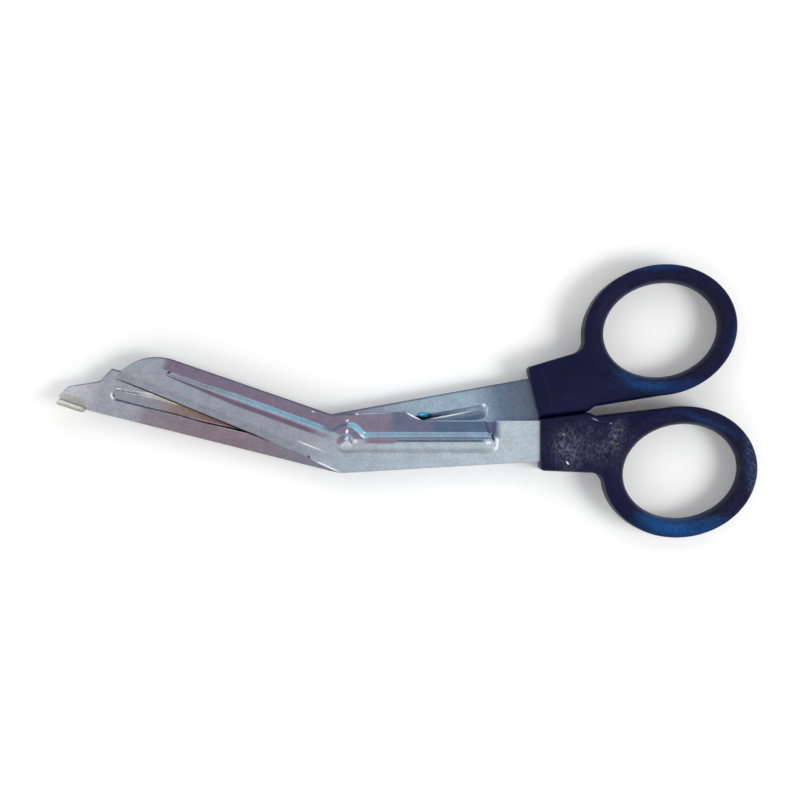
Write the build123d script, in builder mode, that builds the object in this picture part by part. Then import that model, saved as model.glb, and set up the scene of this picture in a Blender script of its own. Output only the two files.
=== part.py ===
"""Bandage scissors: two pressed sheet-steel halves, moulded ring handles and a domed pivot rivet.

Millimetres, +Z up. The origin is the pivot axis on the surface that the closed scissors lie on.
+X runs along the top blade's shank towards the finger ring, and the blades point towards -X.
"""
import os
from math import atan2, cos, degrees, hypot, radians, sin, tan

from build123d import *

# Sheet and layers
sheet = 1.2               # thickness of both steel halves
blade_gap = 0.06          # running gap between the two halves
handle_thickness = 6.4    # both handles lie flat on the surface
rib_height = 0.7          # how far the ribs and the pivot pads are pressed out
rib_wall = 0.55           # how much wider a rib is outside than inside, on each side
rib_root = 0.3            # how deep a ridge is rooted in its sheet
press_slope = 40          # slope of the pressed flanks, from the sheet's normal

# Shanks: each runs from the pivot to its handle, with its inner side towards the other handle
shank_spread = 14.05      # angle between the two shanks when closed
handle_front = 38.75      # pivot to the handles' front faces
shank_outer_root = 6.08   # shank axis to the outer edge, at the pivot
shank_outer_front = 3.6   # the same at the handle
shank_inner_root = 5.8    # shank axis to the inner edge, near the pivot
shank_inner_front = 4.3   # the same in front of the handle
step_start = 12.3         # where the inner edge steps down
step_end = 15.4
step_round = 1.5

# Tangs inside the handles
tang_length = 10.0
tang_inner = 2.4
tang_outer = 2.9
tang_corner = 0.8
key_hole_radius = 1.2
key_hole_back = 5.0       # hole to the tang's end

# Top blade, with the rounded nose
top_lean = 22.3           # angle of its cutting edge
top_reach = 47.25         # pivot to the nose
top_edge_drop = 5.45      # pivot to the cutting edge
top_back_nose = 2.15      # pivot axis to the back edge, where the nose begins
top_back_root = 4.05      # the same where the back meets the shank
top_root = 4.8            # how far out that corner lies
nose_length = 9.3         # length of the rounded nose
heel_drop = 6.0           # pivot to the heel, which isn't ground
heel_length = 3.9
hook_length = 5.75        # where the ground edge begins

# Probe blade, with the blunt probe tip
probe_lean = 14.05        # angle of its outer edge
probe_reach = 58.1        # pivot to the tip
probe_outer_drop = 6.38   # pivot to the outer edge
probe_edge_tip = 2.88     # pivot axis to the cutting edge, at the peak behind the tip
probe_edge_root = 3.9     # the same near the pivot
probe_edge_start = 6.0    # how far out the cutting edge begins
probe_root = 1.4          # pivot to the corner between cutting edge and shank, along the shank
probe_peak = 9.2          # tip to the peak
probe_throat = 7.45       # tip to the hollow in front of the peak
probe_throat_rise = -0.17
probe_throat_radius = 2.0
probe_crown = 1.5         # tip to the crown of its slanted front
probe_crown_rise = -2.7
probe_crown_radius = 2.5
probe_chin_rise = -5.2
probe_chin_radius = 0.7

# Folded foot under the probe tip
foot_lean = 18.5
foot_length = 5.4
foot_sheet = 1.0
foot_overhang = 0.15      # how far its outer face stands past the blade's outer edge
foot_back = 0.9           # tip to the foot's front end
foot_rise = 2.6           # height above the blade's inner face
fold_radius = 0.9
foot_corner = 0.8

# Ground cutting edges
bevel_width = 2.1
edge_thickness = 0.25

# Ribs of the top blade
top_rib_lean = 20.0
top_rib_offset = 0.45     # pivot axis to the rib's crest
top_rib_width = 2.3
top_rib_reach = 37.9
top_rib_taper = 14.0      # length over which it rises from the flat
rib_point = 0.25          # share of its full size at the thin end
top_shank_rib_width = 4.4
top_shank_rib_end = 30.4
top_shank_rib_offset = 0.15

# Ribs of the probe blade, given as the grooves on its inner face
probe_groove_width = 2.1
probe_groove_offset = 2.0
probe_groove_reach = 47.5
shank_groove_width = 2.9
shank_groove_end = 28.9
shank_groove_root = 1.2   # shank axis to the groove's middle, at the pivot
shank_groove_lean = 4.0

# Pivot
pad_radius = 3.1          # raised pad round the rivet
pad_reach = 0.9           # how far it stretches along the shank
pad_offset = 0.9          # the pad's middle lies this far towards the inner edge
pad_land = 0.6            # flat sheet between the pad and the ends of the grooves
rivet_radius = 1.25
rivet_fit = 0.02          # clearance in the probe blade
running_fit = 0.05        # clearance in the top blade, which turns on the rivet
head_radius = 1.75
head_height = 0.85
tail_radius = 1.9
tail_height = 0.6

# Handles
closing_gap = 0.1         # between the two handles when closed
ring_half_length = 11.9   # of the finger hole
ring_half_width = 9.55
ring_band = 3.4
finger_ring_reach = 66.5  # pivot to the ring's centre, along the shank
finger_ring_drop = 5.9    # shank axis to the ring's centre
finger_ring_tilt = 10.0   # how much the ring leans towards the other handle
thumb_ring_reach = 66.1
thumb_ring_drop = 6.4
thumb_ring_tilt = 2.0
boss_outer_front = 5.3    # shank axis to the boss's outer edge, at the front
boss_outer_neck = 6.0     # the same at the neck
pad_face_length = 10.0    # length of the faces that meet when the handles close
pad_step = 1.6            # length of the step behind them
neck_radius = 2.6
step_corner = 0.8
handle_edge = 1.2         # rounding of the long edges
front_edge = 0.5          # rounding round the front face
collar_length = 2.9       # plain collar in front of the boss's panel
panel_margin = 1.5
panel_depth = 0.25
panel_corner = 1.0

middle = handle_thickness / 2
top_inner_face = middle + blade_gap / 2
top_outer_face = top_inner_face + sheet
probe_inner_face = middle - blade_gap / 2
probe_outer_face = probe_inner_face - sheet
half_spread = radians(shank_spread / 2)
ring_outer_half_length = ring_half_length + ring_band
ring_outer_half_width = ring_half_width + ring_band
groove_start = pad_reach + pad_radius + pad_land


def on_blade(lean, along, across):
    """A point on a blade: along towards its tip, across towards its upper side."""
    angle = radians(lean)
    return (across * sin(angle) - along * cos(angle), across * cos(angle) + along * sin(angle))


def on_top_shank(along, outward):
    """A point on the top blade's shank, outward away from the other handle."""
    return (along, -outward)


def on_probe_shank(along, outward):
    """The same on the probe blade's shank."""
    angle = radians(shank_spread)
    return (along * cos(angle) - outward * sin(angle), along * sin(angle) + outward * cos(angle))


def rounded_face(corners, rounds=()):
    """A flat face with the given corners, some of them rounded, as (corner, radius) pairs."""
    with BuildSketch() as outline:
        with BuildLine():
            Polyline(*corners, close=True)
        make_face()
        for corner, radius in rounds:
            fillet(outline.vertices().sort_by_distance(Vector(*corner))[0], radius)
    return outline.sketch


def slot(start, end, width):
    """A round-ended slot; start and end are the middles of its round ends."""
    run = (end[0] - start[0], end[1] - start[1])
    with BuildSketch() as outline:
        with Locations(((start[0] + end[0]) / 2, (start[1] + end[1]) / 2)):
            SlotCenterToCenter(hypot(*run), width, rotation=degrees(atan2(run[1], run[0])))
    return outline.sketch


def tang(place):
    """The tang of a shank, with its key hole."""
    end = handle_front + tang_length
    inner_corner = place(end, -tang_inner)
    outer_corner = place(end, tang_outer)
    corners = [
        place(handle_front - tang_corner, -tang_inner),
        inner_corner,
        outer_corner,
        place(handle_front - tang_corner, tang_outer),
    ]
    with BuildSketch() as outline:
        add(rounded_face(corners, [(inner_corner, tang_corner), (outer_corner, tang_corner)]))
        with Locations(place(end - key_hole_back, (tang_outer - tang_inner) / 2)):
            Circle(key_hole_radius, mode=Mode.SUBTRACT)
    return outline.sketch


def section_plane(start, end, height, side):
    """A plane across the run from start to end, at its start, with its x axis pointing off to one side.

    With side +1 that is the run's left and the y axis points up, with -1 its right and y points down.
    """
    run = Vector(end[0] - start[0], end[1] - start[1], 0)
    return Plane(origin=(*start, height), x_dir=(-side * run.Y, side * run.X, 0), z_dir=run)


def ridge_section(width, height):
    """Section of a pressed ridge, rooted in the sheet below it."""
    with BuildSketch() as outline:
        with BuildLine():
            crest = ThreePointArc((-width / 2, 0), (0, height), (width / 2, 0))
            Polyline(crest @ 1, (width / 2, -rib_root), (-width / 2, -rib_root), crest @ 0)
        make_face()
    return outline.sketch


def grind_section():
    """Section of what grinding takes off a cutting edge: x off the edge, y away from the inner face."""
    return rounded_face([
        (-bevel_width, sheet),
        (0, edge_thickness),
        (bevel_width, edge_thickness),
        (bevel_width, sheet),
    ])


def ring_top(reach, drop, tilt):
    """Where a ring's rim runs parallel to the gap between the handles, along and outward."""
    turn = radians(tilt)
    lean = turn - half_spread
    long_part = ring_outer_half_length ** 2 * sin(lean)
    short_part = ring_outer_half_width ** 2 * cos(lean)
    size = hypot(ring_outer_half_length * sin(lean), ring_outer_half_width * cos(lean))
    along = reach + (long_part * cos(turn) - short_part * sin(turn)) / size
    outward = drop - (long_part * sin(turn) + short_part * cos(turn)) / size
    return along, outward


def pad_face(along):
    """How far outward the face lies that meets the other handle."""
    return closing_gap / 2 / cos(half_spread) - along * tan(half_spread)


def handle_outline(place, reach, drop, tilt, turn):
    """Outline of a handle's boss and ring in one, without the finger hole."""
    top_along, top_outward = ring_top(reach, drop, tilt)
    pad_end = handle_front + pad_face_length
    step = pad_end + pad_step
    step_top = place(pad_end, pad_face(pad_end))
    step_foot = place(step, top_outward + (top_along - step) * tan(half_spread))
    neck_along = reach - ring_outer_half_length
    neck_corner = place(neck_along, boss_outer_neck)
    neck_round = min(neck_radius, (neck_along - handle_front) / 2)
    corners = [
        place(handle_front, pad_face(handle_front)),
        step_top,
        step_foot,
        place(top_along, top_outward),
        place(reach, drop),
        place(reach - ring_half_length, boss_outer_neck),
        place(handle_front, boss_outer_front),
    ]
    with BuildSketch() as outline:
        add(rounded_face(corners))
        with Locations(place(reach, drop)):
            Ellipse(ring_outer_half_length, ring_outer_half_width, rotation=turn)
        for corner, radius in [(step_top, step_corner), (step_foot, step_corner), (neck_corner, neck_round)]:
            fillet(outline.vertices().sort_by_distance(Vector(*corner))[0], radius)
    return outline.sketch


def finger_hole(place, reach, drop, turn):
    """The oval finger hole."""
    with BuildSketch() as outline:
        with Locations(place(reach, drop)):
            Ellipse(ring_half_length, ring_half_width, rotation=turn)
    return outline.sketch


def boss_panel(place, reach, drop, tilt, turn):
    """The sunken panel on a boss, which ends where the ring begins."""
    top_along, top_outward = ring_top(reach, drop, tilt)
    start = handle_front + collar_length
    inner_corner = place(start, pad_face(start) + panel_margin)
    outer_corner = place(start, boss_outer_front - panel_margin)
    corners = [
        inner_corner,
        place(top_along, top_outward + panel_margin),
        place(reach, drop),
        place(reach - ring_half_length, boss_outer_neck - panel_margin),
        outer_corner,
    ]
    with BuildSketch() as outline:
        add(rounded_face(corners, [(inner_corner, panel_corner), (outer_corner, panel_corner)]))
        with Locations(place(reach, drop)):
            Ellipse(ring_outer_half_length, ring_outer_half_width, rotation=turn, mode=Mode.SUBTRACT)
    return outline.sketch


# Top blade
top_tip = on_blade(top_lean, top_reach, -top_edge_drop)
nose_start = on_blade(top_lean, top_reach - nose_length, top_back_nose)
top_back_corner = on_blade(top_lean, top_root, top_back_root)
top_step = on_top_shank(step_start, -shank_inner_root)
top_step_foot = on_top_shank(step_end, -shank_inner_front)
top_corners = [
    nose_start,
    top_back_corner,
    top_step,
    top_step_foot,
    on_top_shank(handle_front, -shank_inner_front),
    on_top_shank(handle_front, shank_outer_front),
    on_top_shank(0, shank_outer_root),
    on_blade(top_lean, heel_length, -heel_drop),
    on_blade(top_lean, hook_length, -top_edge_drop),
    top_tip,
]
top_heel = on_blade(top_lean, heel_length, -top_edge_drop)
top_shank_rib_middle = top_shank_rib_end - top_shank_rib_width / 2
top_shank_groove_width = top_shank_rib_width - 2 * rib_wall
top_groove_width = top_rib_width - 2 * rib_wall
top_rib_full = top_rib_reach - top_rib_taper


def on_top_rib(along):
    """A point on the middle line of the top blade's long rib."""
    return on_blade(top_rib_lean, along, top_rib_offset)


top_rib_aim = on_top_rib(top_reach)

with BuildPart() as top_blade:
    with BuildSketch(Plane.XY.offset(top_inner_face)) as top_outline:
        with BuildLine():
            Polyline(*top_corners)
            TangentArc(nose_start, top_tip, tangent=Vector(*nose_start) - Vector(*top_back_corner))
        make_face()
        for corner in (top_step, top_step_foot):
            fillet(top_outline.vertices().sort_by_distance(Vector(*corner))[0], step_round)
        add(tang(on_top_shank))
    extrude(amount=sheet)
    with BuildSketch(Plane.XY.offset(top_outer_face)):
        add(slot(on_top_shank(0, -pad_offset), on_top_shank(pad_reach, -pad_offset), 2 * pad_radius))
    extrude(amount=rib_height, taper=press_slope)
    with BuildSketch(Plane.XY.offset(top_outer_face)):
        add(slot(on_top_shank(0, top_shank_rib_offset),
                 on_top_shank(top_shank_rib_middle, top_shank_rib_offset), top_shank_rib_width))
    extrude(amount=rib_height, taper=press_slope)
    for along, share in [(top_rib_reach, rib_point), (top_rib_full, 1), (0, 1)]:
        with BuildSketch(section_plane(on_top_rib(along), top_rib_aim, top_outer_face, 1)):
            add(ridge_section(top_rib_width * share, rib_height * share))
    loft(ruled=True)
    with BuildSketch(Plane.XY.offset(top_inner_face)):
        add(slot(on_top_shank(groove_start + top_shank_groove_width / 2, top_shank_rib_offset),
                 on_top_shank(top_shank_rib_middle, top_shank_rib_offset), top_shank_groove_width))
    extrude(amount=rib_height, taper=press_slope, mode=Mode.SUBTRACT)
    for along, share in [(top_rib_reach, rib_point), (top_rib_full, 1), (groove_start, 1)]:
        with BuildSketch(section_plane(on_top_rib(along), top_rib_aim, top_inner_face, 1)):
            add(ridge_section(top_groove_width * share, rib_height * share))
    loft(ruled=True, mode=Mode.SUBTRACT)
    with BuildSketch(section_plane(top_heel, top_tip, top_inner_face, 1)):
        add(grind_section())
    extrude(amount=top_reach, mode=Mode.SUBTRACT)
    with BuildSketch(Plane.XY.offset(top_inner_face)):
        Circle(rivet_radius + running_fit)
    extrude(amount=sheet + rib_height, mode=Mode.SUBTRACT)
top_blade.part.label = "top_blade"

# Probe blade
probe_chin = on_blade(probe_lean, probe_reach, probe_chin_rise)
probe_crown_point = on_blade(probe_lean, probe_reach - probe_crown, probe_crown_rise)
probe_throat_point = on_blade(probe_lean, probe_reach - probe_throat, probe_throat_rise)
probe_edge_front = on_blade(probe_lean, probe_reach - probe_peak, probe_edge_tip)
probe_edge_back = on_blade(probe_lean, probe_edge_start, probe_edge_root)
probe_edge_length = hypot(probe_reach - probe_peak - probe_edge_start, probe_edge_root - probe_edge_tip)
probe_step = on_probe_shank(step_start, -shank_inner_root)
probe_step_foot = on_probe_shank(step_end, -shank_inner_front)
probe_corners = [
    on_blade(probe_lean, probe_reach - foot_back, -probe_outer_drop),
    probe_chin,
    probe_crown_point,
    probe_throat_point,
    probe_edge_front,
    probe_edge_back,
    on_probe_shank(-probe_root, shank_outer_root),
    on_probe_shank(handle_front, shank_outer_front),
    on_probe_shank(handle_front, -shank_inner_front),
    probe_step_foot,
    probe_step,
    on_blade(probe_lean, 0, -probe_outer_drop),
]
probe_rounds = [
    (probe_chin, probe_chin_radius),
    (probe_crown_point, probe_crown_radius),
    (probe_throat_point, probe_throat_radius),
    (probe_step_foot, step_round),
    (probe_step, step_round),
]
foot_turn = radians(foot_lean)
foot_run = (cos(foot_turn), -sin(foot_turn), 0)
foot_across = (sin(foot_turn), cos(foot_turn), 0)
foot_front = on_blade(probe_lean, probe_reach - foot_back, -probe_outer_drop - foot_overhang)
foot_plane = Plane(origin=(*foot_front, probe_outer_face), x_dir=foot_across, z_dir=foot_run)
foot_height = sheet + foot_rise
foot_corners = [
    (0, 0),
    (0, foot_height),
    (foot_sheet, foot_height),
    (foot_sheet, sheet),
    (foot_sheet + fold_radius, sheet),
    (foot_sheet + fold_radius, 0),
]
shank_groove_middle = shank_groove_end - shank_groove_width / 2
shank_groove_slope = tan(radians(shank_groove_lean))
shank_groove_first = groove_start + shank_groove_width / 2
probe_groove_middle = probe_groove_reach - probe_groove_width / 2


def on_shank_groove(along):
    """A point on the middle line of the probe blade's shank groove."""
    return on_probe_shank(along, shank_groove_root - along * shank_groove_slope)


with BuildPart() as probe_blade:
    with BuildSketch(Plane.XY.offset(probe_outer_face)):
        add(rounded_face(probe_corners, probe_rounds))
        add(tang(on_probe_shank))
    extrude(amount=sheet)
    with BuildSketch(foot_plane):
        Rectangle(fold_radius, sheet, align=(Align.MIN, Align.MIN))
    extrude(amount=foot_length, mode=Mode.SUBTRACT)
    with BuildSketch(foot_plane):
        add(rounded_face(foot_corners, [(foot_corners[0], fold_radius)]))
    extrude(amount=foot_length)
    fillet(probe_blade.edges().filter_by(Axis((0, 0, 0), foot_across)).group_by(Axis.Z)[-1], foot_corner)
    with BuildSketch(Plane.XY.offset(probe_outer_face)):
        add(slot(on_probe_shank(0, -pad_offset), on_probe_shank(pad_reach, -pad_offset), 2 * pad_radius))
    extrude(amount=-rib_height, taper=press_slope)
    with BuildSketch(Plane.XY.offset(probe_outer_face)):
        add(slot(on_shank_groove(0), on_shank_groove(shank_groove_middle), shank_groove_width + 2 * rib_wall))
    extrude(amount=-rib_height, taper=press_slope)
    with BuildSketch(Plane.XY.offset(probe_outer_face)):
        add(slot(on_blade(probe_lean, 0, -probe_groove_offset),
                 on_blade(probe_lean, probe_groove_middle, -probe_groove_offset),
                 probe_groove_width + 2 * rib_wall))
    extrude(amount=-rib_height, taper=press_slope)
    with BuildSketch(Plane.XY.offset(probe_inner_face)):
        add(slot(on_shank_groove(shank_groove_first), on_shank_groove(shank_groove_middle), shank_groove_width))
    extrude(amount=-rib_height, taper=press_slope, mode=Mode.SUBTRACT)
    with BuildSketch(Plane.XY.offset(probe_inner_face)):
        add(slot(on_blade(probe_lean, groove_start, -probe_groove_offset),
                 on_blade(probe_lean, probe_groove_middle, -probe_groove_offset), probe_groove_width))
    extrude(amount=-rib_height, taper=press_slope, mode=Mode.SUBTRACT)
    with BuildSketch(section_plane(probe_edge_back, probe_edge_front, probe_inner_face, -1)):
        add(grind_section())
    extrude(amount=probe_edge_length, mode=Mode.SUBTRACT)
    with BuildSketch(Plane.XY.offset(probe_outer_face - rib_height)):
        Circle(rivet_radius + rivet_fit)
    extrude(amount=sheet + rib_height, mode=Mode.SUBTRACT)
probe_blade.part.label = "probe_blade"

# Pivot rivet
tail_seat = probe_outer_face - rib_height
head_seat = top_outer_face + rib_height + running_fit

with BuildPart() as pivot_rivet:
    with BuildSketch(Plane.XZ):
        with BuildLine():
            tail = TangentArc((0, tail_seat - tail_height), (tail_radius, tail_seat), tangent=(1, 0))
            head = TangentArc((0, head_seat + head_height), (head_radius, head_seat), tangent=(1, 0))
            Polyline(tail @ 1, (rivet_radius, tail_seat), (rivet_radius, head_seat), head @ 1)
            Line(head @ 0, tail @ 0)
        make_face()
    revolve(axis=Axis.Z)
pivot_rivet.part.label = "pivot_rivet"

# Finger handle, on the top blade's tang
finger_ring = (finger_ring_reach, finger_ring_drop)

with BuildPart() as finger_handle:
    with BuildSketch(Plane.XY):
        add(handle_outline(on_top_shank, *finger_ring, finger_ring_tilt, finger_ring_tilt))
        add(finger_hole(on_top_shank, *finger_ring, finger_ring_tilt), mode=Mode.SUBTRACT)
    extrude(amount=handle_thickness)
    rim = finger_handle.faces().filter_by(Axis.Z).edges()
    fillet(rim - rim.filter_by(GeomType.LINE).filter_by(Axis.Y), handle_edge)
    fillet(finger_handle.faces().sort_by(Axis.X)[0].edges(), front_edge)
    for height in (0, handle_thickness - panel_depth):
        with BuildSketch(Plane.XY.offset(height)):
            add(boss_panel(on_top_shank, *finger_ring, finger_ring_tilt, finger_ring_tilt))
        extrude(amount=panel_depth, mode=Mode.SUBTRACT)
    with BuildSketch(Plane.XY.offset(top_inner_face)):
        add(tang(on_top_shank))
    extrude(amount=sheet, mode=Mode.SUBTRACT)
finger_handle.part.label = "finger_handle"

# Thumb handle, on the probe blade's tang
thumb_ring = (thumb_ring_reach, thumb_ring_drop)
thumb_turn = shank_spread - thumb_ring_tilt
thumb_shank = Axis((0, 0, 0), (*on_probe_shank(1, 0), 0))
thumb_cross = Axis((0, 0, 0), (*on_probe_shank(0, 1), 0))

with BuildPart() as thumb_handle:
    with BuildSketch(Plane.XY):
        add(handle_outline(on_probe_shank, *thumb_ring, thumb_ring_tilt, thumb_turn))
        add(finger_hole(on_probe_shank, *thumb_ring, thumb_turn), mode=Mode.SUBTRACT)
    extrude(amount=handle_thickness)
    rim = thumb_handle.faces().filter_by(Axis.Z).edges()
    fillet(rim - rim.filter_by(GeomType.LINE).filter_by(thumb_cross), handle_edge)
    fillet(thumb_handle.faces().sort_by(thumb_shank)[0].edges(), front_edge)
    for height in (0, handle_thickness - panel_depth):
        with BuildSketch(Plane.XY.offset(height)):
            add(boss_panel(on_probe_shank, *thumb_ring, thumb_ring_tilt, thumb_turn))
        extrude(amount=panel_depth, mode=Mode.SUBTRACT)
    with BuildSketch(Plane.XY.offset(probe_outer_face)):
        add(tang(on_probe_shank))
    extrude(amount=sheet, mode=Mode.SUBTRACT)
thumb_handle.part.label = "thumb_handle"

os.makedirs("parts", exist_ok=True)
for piece in (top_blade, probe_blade, pivot_rivet, finger_handle, thumb_handle):
    export_step(piece.part, f"parts/{piece.part.label}.step")
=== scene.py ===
"""Looks of the bandage scissors: pressed steel halves, a domed rivet and moulded ring handles.

Metres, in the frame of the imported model: the origin is the pivot axis on the surface that the closed
scissors lie on, +X runs along the top blade's shank, and the blades point towards -X.
"""

from functools import partial
from math import atan2, cos, hypot, pi, radians, sin, sqrt, tan

import bmesh
import bpy
from bpy.props import FloatProperty, FloatVectorProperty, PointerProperty
from bpy.types import Operator, Panel, PropertyGroup
from mathutils import Matrix, Vector


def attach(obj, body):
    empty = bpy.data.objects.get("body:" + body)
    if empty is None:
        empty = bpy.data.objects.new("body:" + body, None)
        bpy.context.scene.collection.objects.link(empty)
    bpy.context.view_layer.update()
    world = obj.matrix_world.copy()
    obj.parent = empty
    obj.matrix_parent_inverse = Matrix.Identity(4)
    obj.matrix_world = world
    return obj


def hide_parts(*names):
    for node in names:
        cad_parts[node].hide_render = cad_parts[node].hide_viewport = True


bl_info = {
    "name": "Bandage scissors",
    "version": (1, 0, 0),
    "blender": (4, 5, 0),
    "location": "View3D > Sidebar > Scissors",
    "description": "Builds the visible pieces of a pair of bandage scissors and the stage they lie on",
    "category": "Object",
}

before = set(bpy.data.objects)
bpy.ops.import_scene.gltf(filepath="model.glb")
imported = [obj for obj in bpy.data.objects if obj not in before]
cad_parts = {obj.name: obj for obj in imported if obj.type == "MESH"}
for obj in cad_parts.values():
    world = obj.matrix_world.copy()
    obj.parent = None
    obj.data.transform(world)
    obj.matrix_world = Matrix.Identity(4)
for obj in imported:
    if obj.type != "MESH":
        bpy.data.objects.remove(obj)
bpy.context.view_layer.update()
MM = 0.001

# Layers of the closed scissors
BLADE_GAP = 0.06 * MM
HANDLE_THICKNESS = 6.4 * MM
SHEET = 1.2 * MM
MIDDLE = HANDLE_THICKNESS / 2
TOP_INNER = MIDDLE + BLADE_GAP / 2
TOP_OUTER = TOP_INNER + SHEET
PROBE_INNER = MIDDLE - BLADE_GAP / 2
PROBE_OUTER = PROBE_INNER - SHEET
RIB_HEIGHT = 0.7 * MM
RIB_WALL = 0.55 * MM

# Shanks
SHANK_SPREAD = 14.05
HANDLE_FRONT = 38.75 * MM
SHANK_OUTER_ROOT = 6.08 * MM
TOP_OUTER_ROOT = 6.22 * MM
TOP_ROOT_START = -1.0 * MM
TOP_OUTER_FRONT = 3.9 * MM
PROBE_OUTER_FRONT = 3.4 * MM
SHANK_INNER_ROOT = 5.8 * MM
TOP_INNER_ROOT = 5.95 * MM
SHANK_INNER_FRONT = 4.3 * MM
PROBE_INNER_FRONT = 4.75 * MM
STEP_START = 12.3 * MM
STEP_END = 15.4 * MM
STEP_ROUND = 1.5 * MM
TANG_LENGTH = 10.0 * MM
TANG_INNER = 2.4 * MM
TANG_OUTER = 2.9 * MM
SEAT_CLEARANCE = 0.002 * MM

# Top blade
TOP_LEAN = 22.3
TOP_REACH = 47.25 * MM
TOP_EDGE_DROP = 5.79 * MM
TOP_BACK_NOSE = 2.15 * MM
TOP_BACK_ROOT = 4.05 * MM
TOP_ROOT = 4.8 * MM
NOSE_LENGTH = 9.3 * MM
HEEL_DROP = 6.0 * MM
HEEL_LENGTH = 3.9 * MM
HOOK_LENGTH = 5.75 * MM

# Probe blade
PROBE_LEAN = 14.05
PROBE_REACH = 58.1 * MM
PROBE_OUTER_DROP = 6.38 * MM
PROBE_EDGE_TIP = 2.88 * MM
PROBE_EDGE_ROOT = 3.9 * MM
PROBE_EDGE_START = 6.0 * MM
PROBE_ROOT = 1.4 * MM
PROBE_PEAK = 9.2 * MM
PROBE_THROAT = 7.45 * MM
PROBE_THROAT_RISE = -0.17 * MM
PROBE_THROAT_RADIUS = 2.0 * MM
PROBE_CROWN = 1.5 * MM
PROBE_CROWN_RISE = -2.7 * MM
PROBE_CROWN_RADIUS = 2.5 * MM
PROBE_CHIN_RISE = -5.35 * MM
PROBE_CHIN_RADIUS = 0.25 * MM
FOOT_LEAN = 18.5
FOOT_LENGTH = 5.4 * MM
FOOT_SHEET = 1.0 * MM
FOOT_OVERHANG = 0.15 * MM
FOOT_BACK = 0.5 * MM
FOOT_RISE = 2.6 * MM
FOOT_CORNER = 0.8 * MM
FOOT_INNER_RADIUS = 0.2 * MM
FOOT_OUTER_RADIUS = FOOT_INNER_RADIUS + FOOT_SHEET
FOOT_TURNS = (15, 30, 45, 60, 75, 90)
FOOT_WALL_SHARES = (0.35, 0.7)
FOOT_RELIEF = 0.06 * MM

# Ground cutting edges
BEVEL_WIDTH = 2.1 * MM
EDGE_THICKNESS = 0.25 * MM
BEVEL_RUNOUT = 2.2 * MM
BEVEL_CURVE = 1.5

# Pressed ribs and grooves
TOP_RIB_LEAN = 20.0
TOP_RIB_OFFSET = 0.45 * MM
TOP_RIB_WIDTH = 2.6 * MM
TOP_RIB_REACH = 37.9 * MM
TOP_RIB_TAPER = 14.0 * MM
RIB_POINT = 0.25
SHANK_RIB_WIDTH = 4.4 * MM
SHANK_RIB_END = 30.4 * MM
SHANK_RIB_OFFSET = 0.15 * MM
PROBE_GROOVE_WIDTH = 2.32 * MM
PROBE_GROOVE_OFFSET = 1.99 * MM
PROBE_GROOVE_REACH = 47.5 * MM
PROBE_GROOVE_OPENING = 0.73 * MM
PROBE_GROOVE_TAPER = 6.0 * MM
PROBE_LOWER_FLANK = 0.3 * MM
PROBE_UPPER_FLANK = 0.85 * MM
SHANK_GROOVE_WIDTH = 2.9 * MM
SHANK_GROOVE_END = 28.9 * MM
SHANK_GROOVE_ROOT = 1.2 * MM
SHANK_GROOVE_LEAN = 4.0
FLANK = 1.15 * MM
GROOVE_FLANK = 0.95 * MM
SHANK_GROOVE_FLANK = 1.0 * MM

# Pivot
PAD_RADIUS = 3.1 * MM
PAD_REACH = 0.9 * MM
PAD_OFFSET = 0.9 * MM
PAD_LAND = 0.6 * MM
GROOVE_START = PAD_REACH + PAD_RADIUS + PAD_LAND
RIVET_RADIUS = 1.25 * MM
RIVET_FIT = 0.02 * MM
RUNNING_FIT = 0.05 * MM
HEAD_RADIUS = 1.75 * MM
HEAD_HEIGHT = 0.85 * MM
HEAD_RIM = 0.15 * MM
TAIL_RADIUS = 1.9 * MM
TAIL_HEIGHT = 0.6 * MM
DOME_STEPS = 12
RIVET_SIDES = 64

# Handles, in places along a shank and outward from it
CLOSING_GAP = 0.03 * MM
RING_HALF_LENGTH = 15.3 * MM
RING_HALF_WIDTH = 12.95 * MM
HOLE_HALF_LENGTH = 11.5 * MM
HOLE_HALF_WIDTH = 9.3 * MM
HOLE_SHIFT = 0.35 * MM
RING_BAND = RING_HALF_LENGTH - HOLE_HALF_LENGTH
FINGER_RING = (66.5 * MM, 5.9 * MM, 10.0)
THUMB_RING = (66.1 * MM, 6.4 * MM, 2.0)
BOSS_OUTER_FRONT = 5.65 * MM
BOSS_OUTER_NECK = 6.35 * MM
PAD_FACE_LENGTH = 9.5 * MM
PAD_STEP = 1.6 * MM
NECK_RADIUS = 2.6 * MM
STEP_CORNER = 1.2 * MM
FRONT_CORNER = 0.6 * MM
COLLAR_LENGTH = 2.6 * MM
PANEL_MARGIN = 0.7 * MM
PANEL_DEPTH = 0.28 * MM
PANEL_SLOPE = 0.5 * MM
RING_CREST = 0.72
RING_SLOPE = 0.28
RING_SLOPE_DROP = 0.55 * MM
RING_SLOPE_TURN = radians(20)
RING_EDGE = 0.7 * MM
SLOPE_CURVE = 1.5
BOSS_ROUND = 0.7 * MM
BOSS_SHOULDER = 0.8 * MM
CLOSING_ROUND = {FINGER_RING: 0.45 * MM, THUMB_RING: 1.0 * MM}
CLOSING_SHOULDER = {FINGER_RING: 1.8 * MM, THUMB_RING: 2.8 * MM}
PLAN_CORNER = 0.7 * MM
STEP_DROP = {FINGER_RING: 0.15 * MM, THUMB_RING: 0.57 * MM}
RING_STEPS = 160
SECTION_STEPS = 8
BOSS_COLUMNS = 90
BOSS_ROWS = 64
COLUMN_CURVE = 1.3

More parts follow.
